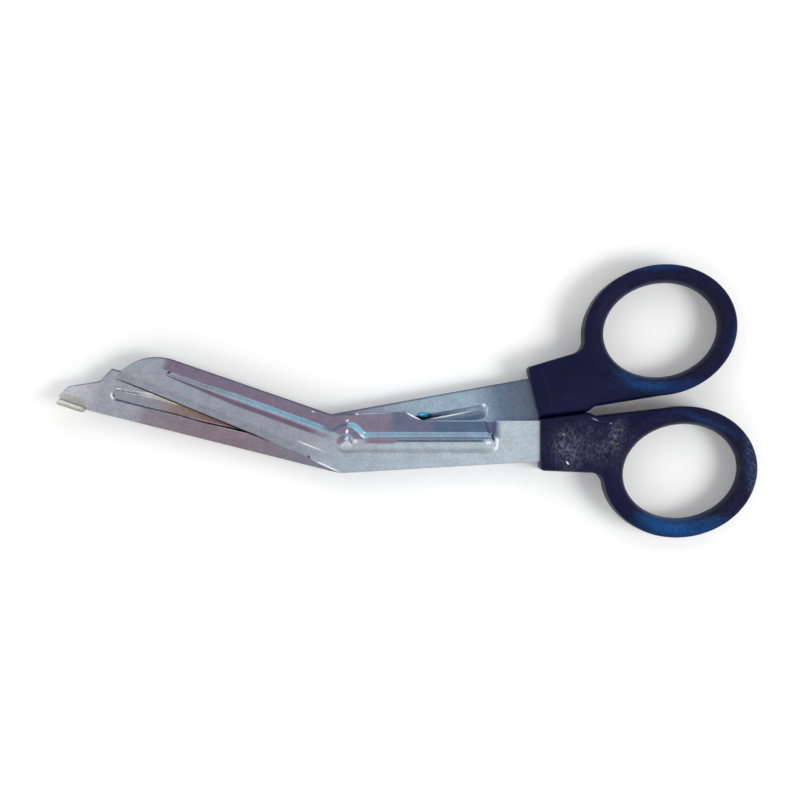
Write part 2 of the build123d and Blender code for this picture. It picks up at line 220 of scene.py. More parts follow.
# How finely curves and sheets are divided, and where their joins and edges are looked for
STATION_STEP = 0.2 * MM
SHEET_ROWS = 88
RIM_SHARES = ((0.0, 1.0), (0.134, 0.5), (0.5, 0.134), (1.0, 0.0))
EDGE_ROWS = 6
BEND_HALF = 5.0 * MM
GUIDE_ENDS = (-60 * MM, 50 * MM)
NECK_TURNS = (radians(140), radians(185))
CLOSING_TURNS = (radians(-130), radians(-50))
HALVINGS = 50
CORNER_STEPS = 8
NOSE_STEPS = 24
NECK_STEPS = 14
FOLD_MARGIN = 1.2
HOLE_MARGIN = 1.5
TANG_MARGIN = 0.02 * MM
SLOPE_STEP = 0.05 * MM
MERGE_DISTANCE = 0.001 * MM

# Shading: the turn in radians from which an edge stays sharp, and the share of a mark that fades
SHARP_EDGE = 0.7
MARK_FADE = 0.6


def limited(share):
    """A straight step from 0 to 1."""
    return min(max(share, 0.0), 1.0)


def smooth(share):
    """A smooth step from 0 to 1."""
    share = limited(share)
    return share * share * (3 - 2 * share)


def faded(value, fade):
    """A smooth step given by its start and length, which falls where the length is negative."""
    start, length = fade
    return smooth((value - start) / length)


def linear(red, green, blue):
    """A screen colour, 0 to 255, as the linear colour that materials hold."""
    return tuple(((level / 255 + 0.055) / 1.055) ** 2.4 if level > 10 else level / 255 / 12.92
                 for level in (red, green, blue))


def tone_stops(*stops):
    """Stops as (place, colour), from places in millimetres and screen colours."""
    return [(place * MM, linear(*colour)) for place, *colour in stops]


def tone_marks(*marks):
    """Marks that end in a colour, from marks that end in a screen colour."""
    return [(*mark[:5], linear(*mark[5:])) for mark in marks]


def mixed(first, second, share):
    """A colour between two others."""
    return tuple(a + (b - a) * share for a, b in zip(first, second))


def along_stops(stops, place):
    """The colour at a place along a row of (place, colour) stops."""
    if place <= stops[0][0]:
        return stops[0][1]
    for (start, first), (end, second) in zip(stops, stops[1:]):
        if place < end:
            return mixed(first, second, (place - start) / (end - start))
    return stops[-1][1]


def with_marks(tone, x, y, marks, fade=MARK_FADE):
    """A tone with elliptical marks laid over it, in millimetres and degrees, that fade at their edge."""
    for centre_x, centre_y, half_length, half_width, turn, colour in marks:
        off_x, off_y = x / MM - centre_x, y / MM - centre_y
        if abs(off_x) + abs(off_y) < 2 * (1 + fade) * (half_length + half_width):
            angle = radians(turn)
            along = (off_x * cos(angle) + off_y * sin(angle)) / half_length
            across = (off_y * cos(angle) - off_x * sin(angle)) / half_width
            tone = mixed(tone, colour, smooth((1 + fade / 2 - hypot(along, across)) / fade))
    return tone


# Tones of the steel as screen colours, at places in millimetres along a half from tip to handle
# The flat tones mix the steel's own colour with painted reflections, which make stretches lighter, darker,
# mauve or bluer.
TOP_FLAT_TONES = tone_stops(
    (-47, 156, 162, 170), (-30, 150, 156, 166), (-12, 150, 154, 164), (-4, 162, 170, 179), (5, 168, 180, 189),
    (12, 174, 187, 195), (31, 184, 196, 203),
)
# Painted reflection on the strip between the upper rim and the rib: mauve on the blade, slate on the shank.
TOP_STRIP_REFLECTION_TONES = tone_stops(
    (-38, 124, 110, 128), (-4, 126, 116, 134), (3, 134, 124, 140), (8.8, 126, 122, 138), (10, 104, 112, 132),
    (13, 110, 112, 134), (16.5, 106, 109, 132), (18.5, 88, 106, 130), (29.9, 88, 106, 130),
    (31.2, 184, 196, 203),
)
# Painted highlight on the rib flanks that face the upper side, cyan where light falls on them.
TOP_UP_FLANK_HIGHLIGHT_TONES = tone_stops(
    (-38, 156, 154, 150), (-28, 164, 168, 166), (-19, 172, 188, 192), (-8, 154, 186, 192), (0, 184, 200, 204),
    (8, 172, 186, 192), (29, 176, 192, 198), (30, 250, 252, 252),
)
# Painted light and shade on the rib flanks that face the lower side: dark mauve shade on the blade, lit on the
# shank.
TOP_DOWN_FLANK_LIGHT_AND_SHADE = tone_stops(
    (-38, 132, 114, 134), (-8, 136, 120, 138), (-3.5, 178, 184, 192), (2, 186, 195, 202), (12, 190, 202, 208),
    (29, 192, 206, 212), (30, 250, 252, 252),
)
# Painted shadow along the top blade's cutting edge, where it lies over the probe blade.
CUTTING_EDGE_SHADOW_TONES = tone_stops(
    (-47, 88, 82, 84), (-44, 58, 50, 46), (-36, 70, 66, 48), (-30, 96, 78, 62), (-22, 52, 40, 40),
)
# Painted reflections in these flat tones: a mauve stretch along the blade and a darker, bluer end of the shank.
PROBE_FLAT_TONES = tone_stops(
    (-58, 198, 198, 203), (-54, 190, 190, 196), (-50, 158, 160, 168), (-44, 158, 160, 168),
    (-41.5, 152, 152, 161), (-40, 138, 128, 136), (-22, 134, 119, 127), (0, 128, 130, 146),
    (8, 144, 152, 168), (13, 152, 168, 182), (20, 154, 176, 190), (27, 148, 170, 185), (32, 100, 116, 134),
    (38, 93, 102, 118),
)
# Groove floor tones: darker than the flats on the shank, as painted shade, and browner along the blade.
PROBE_FLOOR_TONES = tone_stops(
    (-47, 150, 152, 160), (-39, 146, 147, 152), (-34, 138, 121, 115), (-26, 122, 98, 94), (-12, 110, 94, 94),
    (8, 98, 112, 130), (29, 112, 126, 144),
)
# Painted highlight on the groove's upper wall: near white towards its rounded end, lighter grey on the shank.
PROBE_UPPER_WALL_HIGHLIGHT = tone_stops(
    (-47, 250, 250, 252), (-40, 252, 252, 242), (-36, 242, 238, 210), (-33, 216, 198, 150),
    (-30, 168, 132, 106), (5, 176, 184, 194), (29, 186, 196, 206),
)
# Painted light and shade on the groove's lower wall: lightened along the blade against its dark reflection,
# dark on the shank.
PROBE_LOWER_WALL_LIGHT_AND_SHADE = tone_stops(
    (-48, 200, 200, 206), (-46.5, 132, 130, 144), (-40, 158, 154, 168), (-33, 206, 196, 204),
    (-12, 230, 214, 218), (5, 100, 112, 128), (29, 104, 116, 132),
)
# Painted shade: the dark line along the sheets' rims.
RIM_PAINTED_SHADE = linear(84, 92, 104)
RIVET_TONE = linear(180, 184, 194)
# Painted shade along the shank rib's crest, and a painted mauve reflection on it near the pivot.
CREST_SHADE = linear(95, 106, 122)
CREST_MAUVE_REFLECTION = linear(138, 124, 140)
FOOT_TONE = linear(164, 160, 144)
# Painted highlight on the inner face of the foot's folded wall.
FOLD_HIGHLIGHT = linear(228, 225, 210)
# How strongly painted rim shade and painted bevel light are laid on, and the slopes at which painted flank and
# wall light and shade set in.
RIM_SHADE_AMOUNT = 0.7
BEVEL_PAINTED_LIGHT = 0.2
TOP_STEEP = 0.5
PROBE_STEEP = 0.4
LEVEL = 0.1

# Where the painted reflections, highlights and shade of the top blade set in or fade out, each as a start and a
# length
RIB_BEND = (-3 * MM, 6 * MM)
STRIP_ABOVE = (0.5 * MM, 0.5 * MM)
STRIP_BEHIND = (-39.8 * MM, 1.2 * MM)
CREST_MIDDLE = 0.26 * MM
CREST_WIDENING = 0.2 * MM
CREST_NARROWS = (10.5 * MM, -1.5 * MM)
CREST_SIDE = (0.38 * MM, -0.22 * MM)
CREST_START = (3 * MM, 2 * MM)
CREST_END = (28.2 * MM, -1.2 * MM)
MAUVE_END = (9.5 * MM, 1.5 * MM)
# Where the pad's left side is left without the painted flank highlight.
HIGHLIGHT_GAP_START = (-5 * MM, 1.6 * MM)
HIGHLIGHT_GAP_END = (0.9 * MM, -0.8 * MM)
EDGE_SHADOW_END = (-12 * MM, -6 * MM)
RIM_SHADE_END = (3 * MM, -1.5 * MM)

# Painted glints, highlights, reflections and shade, and spots on the plastic: place and half sizes in
# millimetres, turn in degrees, screen colour
GLINT = (252, 253, 255)
TOP_PAINTED_LIGHT = tone_marks(
    # On the top blade's outer face: highlights along its edges, step and bevel, glints round the pivot and at
    # the shank rib's end, a painted cyan reflection on the pad's flank, and painted shade at the rib ends, the
    # hook and under the pad's flank.
    (6.3, 5.78, 3.4, 0.14, 2.5, 182, 180, 196),
    (2.3, 5.55, 0.4, 0.16, 5, *GLINT),
    (2.75, 2.3, 2.1, 0.5, -39, 160, 205, 218),
    (3.15, 1.35, 1.0, 0.17, -34, *GLINT),
    (3.74, 1.8, 0.28, 0.2, -30, *GLINT),
    (0.43, 4.27, 0.25, 0.17, 10, *GLINT),
    (0.35, 2.0, 0.62, 0.2, 78, *GLINT),
    (1.9, 0.15, 0.5, 0.35, 0, 228, 232, 236),
    (13.6, 5.15, 1.5, 0.22, -26, 244, 244, 252),
    (27.0, 4.22, 10.5, 0.12, 0, 170, 180, 195),
    (28.3, 2.8, 1.4, 0.28, -70, 72, 80, 110),
    (29.6, 2.9, 1.5, 0.5, 80, 84, 92, 120),
    (29.4, 0.95, 0.8, 0.32, -80, 66, 76, 84),
    (28.45, -0.14, 0.5, 0.25, 0, *GLINT),
    (30.1, -0.35, 1.2, 0.4, 82, *GLINT),
    (-6.8, -0.85, 2.7, 0.13, -22, 232, 234, 238),
    (-3.45, -4.93, 2.6, 0.2, -24, 236, 238, 242),
    (-35.1, 13.85, 0.4, 0.25, 20, 70, 60, 76),
    (-6.4, 6.05, 0.35, 0.15, -20, 205, 205, 218),
    (-7.3, -2.95, 0.35, 0.2, -45, 62, 62, 72),
    (2.2, 1.5, 1.0, 0.55, -38, 112, 122, 138),
)
PROBE_PAINTED_LIGHT = tone_marks(
    # On the probe blade's inner face: a painted blue reflection in the shank groove beside the top blade's
    # step, a painted reflection of the foot, glints round the groove's end, and a highlight stripe and glints
    # on the shank groove.
    (15.75, 5.25, 1.6, 0.65, 0, 40, 122, 176),
    (15.7, 5.25, 0.9, 0.36, 0, 90, 232, 244),
    (-54.2, 8.3, 2.6, 0.9, -19, 176, 172, 165),
    (-46.85, 9.5, 0.4, 0.14, 78, *GLINT),
    (-46.75, 9.0, 0.4, 0.14, -68, *GLINT),
    (-46.35, 8.68, 0.35, 0.12, -35, *GLINT),
    (-45.3, 10.45, 0.55, 0.2, -12, *GLINT),
    (22.3, 5.8, 5.2, 0.34, 12, *GLINT),
    (27.7, 7.36, 0.4, 0.2, -40, *GLINT),
    (28.35, 6.3, 0.95, 0.14, 82, 196, 206, 214),
)
RIVET_PAINTED_LIGHT = tone_marks(
    # Painted light and shade on the rivet's head: a shaded mauve upper left, a lit lower side, a highlight at
    # the top and a dark line on the right.
    (-0.75, 0.5, 1.25, 0.7, 40, 140, 124, 140),
    (0.3, -0.75, 1.2, 0.75, 15, 206, 213, 218),
    (0.3, 0.75, 0.4, 0.25, 20, 224, 228, 232),
    (1.1, 0.3, 0.8, 0.12, -68, 60, 60, 76),
)
PLASTIC_SPOTS_AND_GLINT = tone_marks(
    # A scratch, a painted highlight on the finger handle's step, and two light specks.
    (44.05, -4.1, 0.55, 0.2, -56, 216, 216, 226),
    (49.5, 4.5, 0.95, 0.16, -24, 112, 130, 148),
    (43.3, 1.5, 0.3, 0.24, 0, 130, 130, 142),
    (52.6, 3.75, 0.35, 0.2, 0, 110, 112, 128),
)
SPOT_DEPTH = 2.0 * MM
SPOT_FADE = (0.1, 0.4)

# Dust that lies on the handles, and a lighter tone over both ring bands and the lower ring's outer side: place
# and half sizes in millimetres, turn in degrees, amount
FINGER_DUST = (
    (68.5, -6.2, 10.5, 9.5, 0, (0.22,)), (80.6, -5.5, 7.0, 1.2, 96, (0.5,)),
    (48.2, -0.6, 7.2, 4.2, 0, (0.42,)), (43.9, -1.5, 2.3, 3.4, 8, (1.0,)), (53.6, 1.3, 3.0, 1.3, 66, (0.9,)),
)
THUMB_DUST = ((63.5, 22.8, 11.0, 10.0, 10, (0.14,)), (48.0, 10.0, 7.0, 3.0, 10, (0.05,)))

# Where a painted sheen lies on the handles, the reflection of blue light on their shoulders and walls, in the
# same numbers
FINGER_PAINTED_SHEEN = (
    (66.5, -16.6, 8.5, 1.8, 0, (0.45,)), (61.8, -15.9, 3.6, 1.2, -22, (0.75,)),
    (66.2, -17.1, 4.2, 1.15, 0, (1.0,)), (71.0, -16.3, 3.4, 1.0, 16, (0.6,)),
    (80.4, -5.5, 6.5, 0.8, 96, (0.22,)), (72.0, 3.9, 5.0, 0.6, -22, (0.3,)),
)
THUMB_PAINTED_SHEEN = (
    (62.0, 11.3, 8.0, 1.4, 0, (0.2,)), (56.6, 12.6, 3.2, 0.9, -28, (0.38,)),
    (61.3, 11.2, 4.2, 0.75, -3, (0.6,)), (67.0, 11.4, 3.4, 0.7, 8, (0.25,)),
    (77.4, 22.0, 6.0, 0.6, 75, (0.2,)), (62.0, 34.7, 5.5, 0.6, 4, (0.35,)),
)
DUST_AND_SHEEN_FADE = 1.5

# Patterns of the materials, as scale and detail, and what they change
STEEL_MOTTLE = (420, 4)
STEEL_GRAIN = (2300, 3)
STEEL_MARKS = (1400, 3, (0.08, 1, 1))
STEEL_DRIFT = (900, 4)
STEEL_DEPTHS = (0.1, 0.12, 0.03)
STEEL_TINTING = (0, 1, 0.38, 0.62)
STEEL_WARM = (1.05, 0.97, 1.01)
STEEL_COOL = (0.955, 1.02, 1.015)
STEEL_ROUGHNESS = (0.28, 0.4)
STEEL_BUMP = 0.25
PLASTIC_CLOUD = (180, 5)
PLASTIC_GRAIN = (3800, 2)
PLASTIC_SPECK = (1900, 6)
PLASTIC_DRIFT = (520, 3)
CLOUD_LIFT = 1.5
PAINTED_SHEEN_SPECKS = (0.55, 1)
DUST_DRIFT = (0.35, 1)
DUST_SPECKS = (0.1, 1, 0.4, 0.72)
PLASTIC_ROUGHNESS = (0.36, 0.46)
PLASTIC_SPECULAR = 0.13
PLASTIC_BUMP = 0.15
PAPER_ROUGHNESS = 0.9
BUMP_DEPTH = 0.02 * MM

# The stage, in metres
FLOOR_HALF = 0.6
STAGE_MIDDLE = (0.01, 0.008, 0)
KEY_LAMP = ((0.2, 0.2), (0.4, -0.12, 0.36), (1, 1, 1))
WINDOW_LAMP = ((0.34, 0.16), (0.05, 0.3, 0.26), (0.25, 0.6, 1.0))
WINDOW_POWER = 0.06
CAMERA_LENS = 63
CAMERA_SENSOR = 36
CAMERA_CLIP = 0.01
CAMERA_PLACE = (10.893 * MM, 8.364 * MM, 283.2 * MM)
OVERHEAD = (1.45, 0.0, 0.6, 0.95)

# The studio's own reflections, from the picture's lower side at -1 to its upper side at 1
SKY_STOPS = (
    (-1.0, (0.55, 0.55, 0.58)), (-0.6, (0.75, 0.75, 0.77)), (-0.25, (0.95, 0.95, 0.96)),
    (0.1, (1.0, 1.0, 1.0)), (0.45, (0.80, 0.90, 0.95)), (0.75, (0.60, 0.75, 0.87)), (1.0, (0.45, 0.62, 0.80)),
)


def on_blade(lean, along, across):
    """A point on a blade: along towards its tip, across towards its upper side."""
    angle = radians(lean)
    return (across * sin(angle) - along * cos(angle), across * cos(angle) + along * sin(angle))


def blade_place(lean, x, y):
    """The inverse: along and across of a point."""
    angle = radians(lean)
    return (y * sin(angle) - x * cos(angle), x * sin(angle) + y * cos(angle))


def on_shank(spread, along, outward):
    """A point on a shank: along towards the handle, outward to the left of that run."""
    angle = radians(spread)
    return (along * cos(angle) - outward * sin(angle), along * sin(angle) + outward * cos(angle))


def shank_place(spread, x, y):
    """The inverse: along and outward of a point."""
    angle = radians(spread)
    return (x * cos(angle) + y * sin(angle), y * cos(angle) - x * sin(angle))


def from_segment(x, y, start, end):
    """Distance of a point from the line between two others, and its share along it."""
    run_x, run_y = end[0] - start[0], end[1] - start[1]
    share = limited(((x - start[0]) * run_x + (y - start[1]) * run_y) / (run_x * run_x + run_y * run_y))
    return hypot(x - start[0] - run_x * share, y - start[1] - run_y * share), share


def arc(centre, first, turn, steps):
    """Points of an arc round a centre, from the end of its first spoke through a turn."""
    points = []
    for step in range(steps + 1):
        spoke = first.copy()
        spoke.rotate(Matrix.Rotation(-turn * step / steps, 2))
        points.append(tuple(centre + spoke))
    return points


def halved(low, high, past):
    """The value between two others at which a test turns true, found by halving."""
    for _ in range(HALVINGS):
        value = (low + high) / 2
        if past(value):
            high = value
        else:
            low = value
    return value


def rounded_outline(corners, rounds):
    """The closed outline through these corners, with some of them rounded, given as {corner: radius}."""
    outline = []
    for before, corner, after in zip(corners[-1:] + corners[:-1], corners, corners[1:] + corners[:1]):
        radius = rounds.get(corner)
        if not radius:
            outline.append(corner)
            continue
        here = Vector(corner)
        back = (Vector(before) - here).normalized()
        ahead = (Vector(after) - here).normalized()
        half = back.angle(ahead) / 2
        centre = here + (back + ahead).normalized() * radius / sin(half)
        first = here + back * radius / tan(half) - centre
        last = here + ahead * radius / tan(half) - centre
        outline += arc(centre, first, first.angle_signed(last), CORNER_STEPS)
    return outline


def tangent_arc(start, tangent, end):
    """Points of the arc that leaves start along a tangent and runs to end, without its ends."""
    run = Vector(end) - Vector(start)
    normal = Vector((-tangent[1], tangent[0])).normalized()
    radius = run.length_squared / (2 * run.dot(normal))
    centre = Vector(start) + normal * radius
    first = Vector(start) - centre
    return arc(centre, first, first.angle_signed(Vector(end) - centre), NOSE_STEPS)[1:-1]


def guide(lean, spread, place):
    """Point and normal of a half's middle line, at a place that is negative on the blade."""
    if place < 0:
        point = on_blade(lean, -place, 0)
    else:
        point = on_shank(spread, place, 0)
    turned = smooth((place + BEND_HALF) / (2 * BEND_HALF))
    angle = radians(lean - (lean + spread) * turned)
    return point, (sin(angle), cos(angle))


def off_line(spot, point, normal):
    """How far a spot lies to one side of the cross-line through a point."""
    return (spot[0] - point[0]) * normal[1] - (spot[1] - point[1]) * normal[0]


def station_through(lean, spread, corner):
    """The place on the middle line whose cross-line goes through a corner."""
    return halved(*GUIDE_ENDS, lambda place: off_line(corner, *guide(lean, spread, place)) <= 0)


def crossings(outline, point, normal):
    """How far below and above a point its cross-line meets the outline."""
    found = []
    for start, end in zip(outline, outline[1:] + outline[:1]):
        start_off, end_off = off_line(start, point, normal), off_line(end, point, normal)
        if (start_off <= 0) != (end_off <= 0):
            share = start_off / (start_off - end_off)
            x = start[0] + (end[0] - start[0]) * share
            y = start[1] + (end[1] - start[1]) * share
            found.append((x - point[0]) * normal[0] + (y - point[1]) * normal[1])
    return min(found), max(found)


def row_places(low, high, rim):
    """Places of the rows across a sheet with their rim drops, close together at both rims."""
    rim = min(rim, (high - low) / 4)
    inner = SHEET_ROWS - 2 * len(RIM_SHARES)
    rows = [(low + rim * share, rim * drop) for share, drop in RIM_SHARES]
    step = (high - low - 2 * rim) / (inner + 1)
    rows += [(low + rim + step * (row + 1), 0.0) for row in range(inner)]
    rows += [(high - rim * share, rim * drop) for share, drop in reversed(RIM_SHARES)]
    return rows


def stations(lean, spread, tip, corners, rim):
    """Places of the cross-lines from the tip to the handle, some of them through corners."""
    fixed = [station_through(lean, spread, corner) for corner in corners]
    places = [tip + rim * share for share, _ in RIM_SHARES] + fixed + [HANDLE_FRONT - SEAT_CLEARANCE]
    place = tip
    while place < HANDLE_FRONT:
        if all(abs(place - other) > STATION_STEP / 2 for other in places):
            places.append(place)
        place += STATION_STEP
    return sorted(places)


def folded_point(x, y, row, outside):
    """Where a row of the foot goes, from the point of the fold line that it belongs to."""
    turn, share, narrowing, below = row
    radius, side = (FOOT_OUTER_RADIUS, -1) if outside else (FOOT_INNER_RADIUS, 1)
    out = radius * sin(radians(turn)) + side * narrowing
    lift = FOOT_INNER_RADIUS - radius * cos(radians(turn))
    short = max(FOOT_CORNER - min(hypot(x - end[0], y - end[1]) for end in foot_line()), 0.0)
    top = FOOT_RISE - FOOT_INNER_RADIUS - (FOOT_CORNER - sqrt(FOOT_CORNER ** 2 - short ** 2))
    angle = radians(FOOT_LEAN)
    return x - sin(angle) * out, y - cos(angle) * out, PROBE_INNER + lift + (top - below) * share


def foot_rows(rim):
    """Rows of the foot as turn, share of its rise, narrowing, and distance below its top edge."""
    rows = [(turn, 0.0, 0.0, 0.0) for turn in FOOT_TURNS]
    rows += [(90, share, 0.0, 0.0) for share in FOOT_WALL_SHARES]
    rows += [(90, 1.0, rim * drop, rim * share) for share, drop in reversed(RIM_SHARES)]
    return rows


def foot_line():
    """The two ends of the line along which the foot is folded up."""
    angle = radians(FOOT_LEAN)
    x, y = on_blade(PROBE_LEAN, PROBE_REACH - FOOT_BACK, -PROBE_OUTER_DROP - FOOT_OVERHANG)
    front = (x + sin(angle) * FOOT_OUTER_RADIUS, y + cos(angle) * FOOT_OUTER_RADIUS)
    return front, (front[0] + cos(angle) * FOOT_LENGTH, front[1] - sin(angle) * FOOT_LENGTH)


def near_fold(point, reach):
    """Whether a point lies beside the fold line."""
    return from_segment(point.x, point.y, *foot_line())[0] < reach * FOLD_MARGIN


def made_verts(made):
    """The vertices among what an operator made."""
    return [item for item in made["geom"] if isinstance(item, bmesh.types.BMVert)]


def laid_grid(outline, lean, spread, corners, rim, folded=False):
    """A flat sheet as a bmesh: a grid with its columns on the stations and its rows within the outline."""
    tip = -max(blade_place(lean, *point)[0] for point in outline)
    lines = []
    for place in stations(lean, spread, tip + SEAT_CLEARANCE, corners, rim):
        point, normal = guide(lean, spread, place)
        lines.append((point, normal, row_places(*crossings(outline, point, normal), rim)))
    bm = bmesh.new()
    drop_layer = bm.verts.layers.float.new("rim_drop")
    # Each point's tone, with painted reflections, highlights and shade.
    bm.verts.layers.float_color.new("tone_and_painted_light")
    fold_layer = bm.verts.layers.int.new("fold_row")
    edge_layer = bm.verts.layers.float.new("edge")
    bmesh.ops.create_grid(bm, x_segments=len(lines) - 1, y_segments=SHEET_ROWS - 1, size=0.5)
    for vert in bm.verts:
        station = round((vert.co.x + 0.5) * (len(lines) - 1))
        row = round((vert.co.y + 0.5) * (SHEET_ROWS - 1))
        point, normal, rows = lines[station]
        across, drop = rows[row]
        if station < len(RIM_SHARES):
            drop = max(drop, rim * RIM_SHARES[station][1])
        vert.co = (point[0] + normal[0] * across, point[1] + normal[1] * across, 0)
        beside_fold = folded and near_fold(vert.co, rim)
        vert[drop_layer] = 0 if beside_fold else drop
        vert[fold_layer] = int(beside_fold and near_fold(vert.co, SEAT_CLEARANCE))
        # Where painted rim shade and painted edge shadow are laid: towards 1 in the last rows and towards -1 in
        # the first.
        vert[edge_layer] = smooth((row - SHEET_ROWS + 1 + EDGE_ROWS) / 2) - smooth((EDGE_ROWS - row) / 2)
    return bm


def add_tang(bm, spread, low, high):
    """Carries a part of a sheet's handle end on into its tang."""
    end_edges = []
    for edge in bm.edges:
        centre = (edge.verts[0].co + edge.verts[1].co) / 2
        along, outward = shank_place(spread, centre.x, centre.y)
        if edge.is_boundary and along > HANDLE_FRONT - TANG_MARGIN and low < outward < high:
            end_edges.append(edge)
    made = bmesh.ops.extrude_edge_only(bm, edges=end_edges)
    bmesh.ops.translate(bm, vec=(*on_shank(spread, TANG_LENGTH, 0), 0), verts=made_verts(made))


def add_foot(bm, rows):
    """Adds the foot's rows on the fold line, from which add_faces folds them up."""
    fold_layer = bm.verts.layers.int["fold_row"]
    edges = [edge for edge in bm.edges if edge.is_boundary and all(vert[fold_layer] for vert in edge.verts)]
    for row in range(len(rows)):
        made = bmesh.ops.extrude_edge_only(bm, edges=edges)
        edges = [item for item in made["geom"] if isinstance(item, bmesh.types.BMEdge)]
        for vert in made_verts(made):
            vert[fold_layer] = row + 2


def cut_hole(bm, radius):
    """Cuts the rivet's hole."""
    inside = [face for face in bm.faces if face.calc_center_median().length < radius]
    bmesh.ops.delete(bm, geom=inside, context="FACES")
    for vert in bm.verts:
        if vert.is_boundary and vert.co.length < radius * HOLE_MARGIN:
            vert.co = vert.co.normalized() * radius


def add_faces(bm, up, outer_height, inner_height, tone_and_painted_light, fold_rows=()):
    """Gives a sheet both its faces, with their heights and tones, and folds its foot up."""
    drop_layer, edge_layer = bm.verts.layers.float["rim_drop"], bm.verts.layers.float["edge"]
    fold_layer, tone_and_light_layer = bm.verts.layers.int["fold_row"], bm.verts.layers.float_color["tone_and_painted_light"]
    lifted = set(made_verts(bmesh.ops.extrude_face_region(bm, geom=bm.faces[:])))
    for vert in bm.verts:
        x, y = vert.co.x, vert.co.y
        outer, row = vert in lifted, vert[fold_layer]
        if row > 1:
            vert.co = folded_point(x, y, fold_rows[row - 2], outer)
            # Painted highlight on the inner face of the foot's wall.
            tone = FOLD_HIGHLIGHT if row - 1 > len(FOOT_TURNS) and not outer else FOOT_TONE
        else:
            drop = up * vert[drop_layer]
            vert.co.z = outer_height(x, y) - drop if outer else inner_height(x, y) + drop
            tone = tone_and_painted_light(x, y, outer, vert[edge_layer])
        vert[tone_and_light_layer] = (*tone, 1)
    bmesh.ops.recalc_face_normals(bm, faces=bm.faces)


def capsule_share(x, y, start, end, half_width, flank, ease=smooth):
    """Share of full height of a pressed, round-ended form at a point."""
    distance, _ = from_segment(x, y, start, end)
    return ease((half_width - distance) / flank)


def joined_share(*shares):
    """Pressed forms that run into each other."""
    left = 1.0
    for share in shares:
        left *= 1 - share
    return 1 - left


def rib_share(x, y, width):
    """The same of the top blade's long rib, which tapers towards the nose."""
    along, across = blade_place(TOP_RIB_LEAN, x, y)
    fade = (TOP_RIB_REACH - along) / TOP_RIB_TAPER
    size = RIB_POINT + (1 - RIB_POINT) * limited(fade)
    beyond = max(along - TOP_RIB_REACH, -along, 0.0)
    distance = hypot(beyond, across - TOP_RIB_OFFSET) / (width / 2 * size)
    return size * (0.5 + 0.5 * cos(pi * distance)) if distance < 1 else 0.0


def groove_share(x, y, start, tip):
    """The same of the probe blade's long groove: steep below, and opening out above behind its end."""
    along, across = blade_place(PROBE_LEAN, x, y)
    off = across + PROBE_GROOVE_OFFSET
    distance = hypot(max(along - tip, start - along, 0.0), off)
    opened = smooth(0.5 + off / PROBE_GROOVE_WIDTH) * smooth((tip - along) / PROBE_GROOVE_TAPER)
    flank = PROBE_LOWER_FLANK + (PROBE_UPPER_FLANK - PROBE_LOWER_FLANK) * opened
    return limited((PROBE_GROOVE_WIDTH / 2 + PROBE_GROOVE_OPENING * opened - distance) / flank)


def ground(x, y, start, end, side):
    """Thickness that grinding leaves at a point beside a cutting edge from start to end."""
    run = (Vector(end) - Vector(start)).normalized()
    off_x, off_y = x - start[0], y - start[1]
    along = off_x * run.x + off_y * run.y
    into = side * (off_y * run.x - off_x * run.y)
    inward = limited(into / BEVEL_WIDTH)
    thickness = EDGE_THICKNESS + (SHEET - EDGE_THICKNESS) * (1 - (1 - inward) ** BEVEL_CURVE)
    return thickness + (SHEET - thickness) * smooth(-along / BEVEL_RUNOUT)


def ring_point(ring, turn, share):
    """A point of a ring: turn round it, share from its finger hole at 0 to its outer side at 1."""
    reach, drop, tilt = ring
    lean = radians(-tilt)
    hole_long, hole_short = HOLE_HALF_LENGTH * cos(turn) + HOLE_SHIFT, HOLE_HALF_WIDTH * sin(turn)
    long_part = hole_long + (RING_HALF_LENGTH * cos(turn) - hole_long) * share
    short_part = hole_short + (RING_HALF_WIDTH * sin(turn) - hole_short) * share
    return (reach + long_part * cos(lean) - short_part * sin(lean),
            drop + long_part * sin(lean) + short_part * cos(lean))


def ring_outward(ring, turn):
    """Direction that a ring's outer side faces."""
    lean = radians(-ring[2])
    long_part = RING_HALF_WIDTH * cos(turn)
    short_part = RING_HALF_LENGTH * sin(turn)
    return Vector((long_part * cos(lean) - short_part * sin(lean),
                   long_part * sin(lean) + short_part * cos(lean))).normalized()


def pad_face(along):
    """How far outward the face lies that meets the other handle."""
    half_spread = radians(SHANK_SPREAD / 2)
    return CLOSING_GAP / 2 / cos(half_spread) - along * tan(half_spread)


def neck_curve(ring):
    """A boss's outer side from its front to the ring, with the hollow where they meet, and the turn there."""
    start = Vector((HANDLE_FRONT, BOSS_OUTER_FRONT))
    run = (Vector((ring[0] - HOLE_HALF_LENGTH, BOSS_OUTER_NECK)) - start).normalized()
    side = Vector((-run.y, run.x))

    def centre(turn):
        return Vector(ring_point(ring, turn, 1)) + ring_outward(ring, turn) * NECK_RADIUS

    turn = halved(*NECK_TURNS, lambda turn: (centre(turn) - start).dot(side) <= NECK_RADIUS)
    first = -side * NECK_RADIUS
    sweep = first.angle_signed(-ring_outward(ring, turn) * NECK_RADIUS)
    return [tuple(start)] + arc(centre(turn), first, sweep, NECK_STEPS), turn


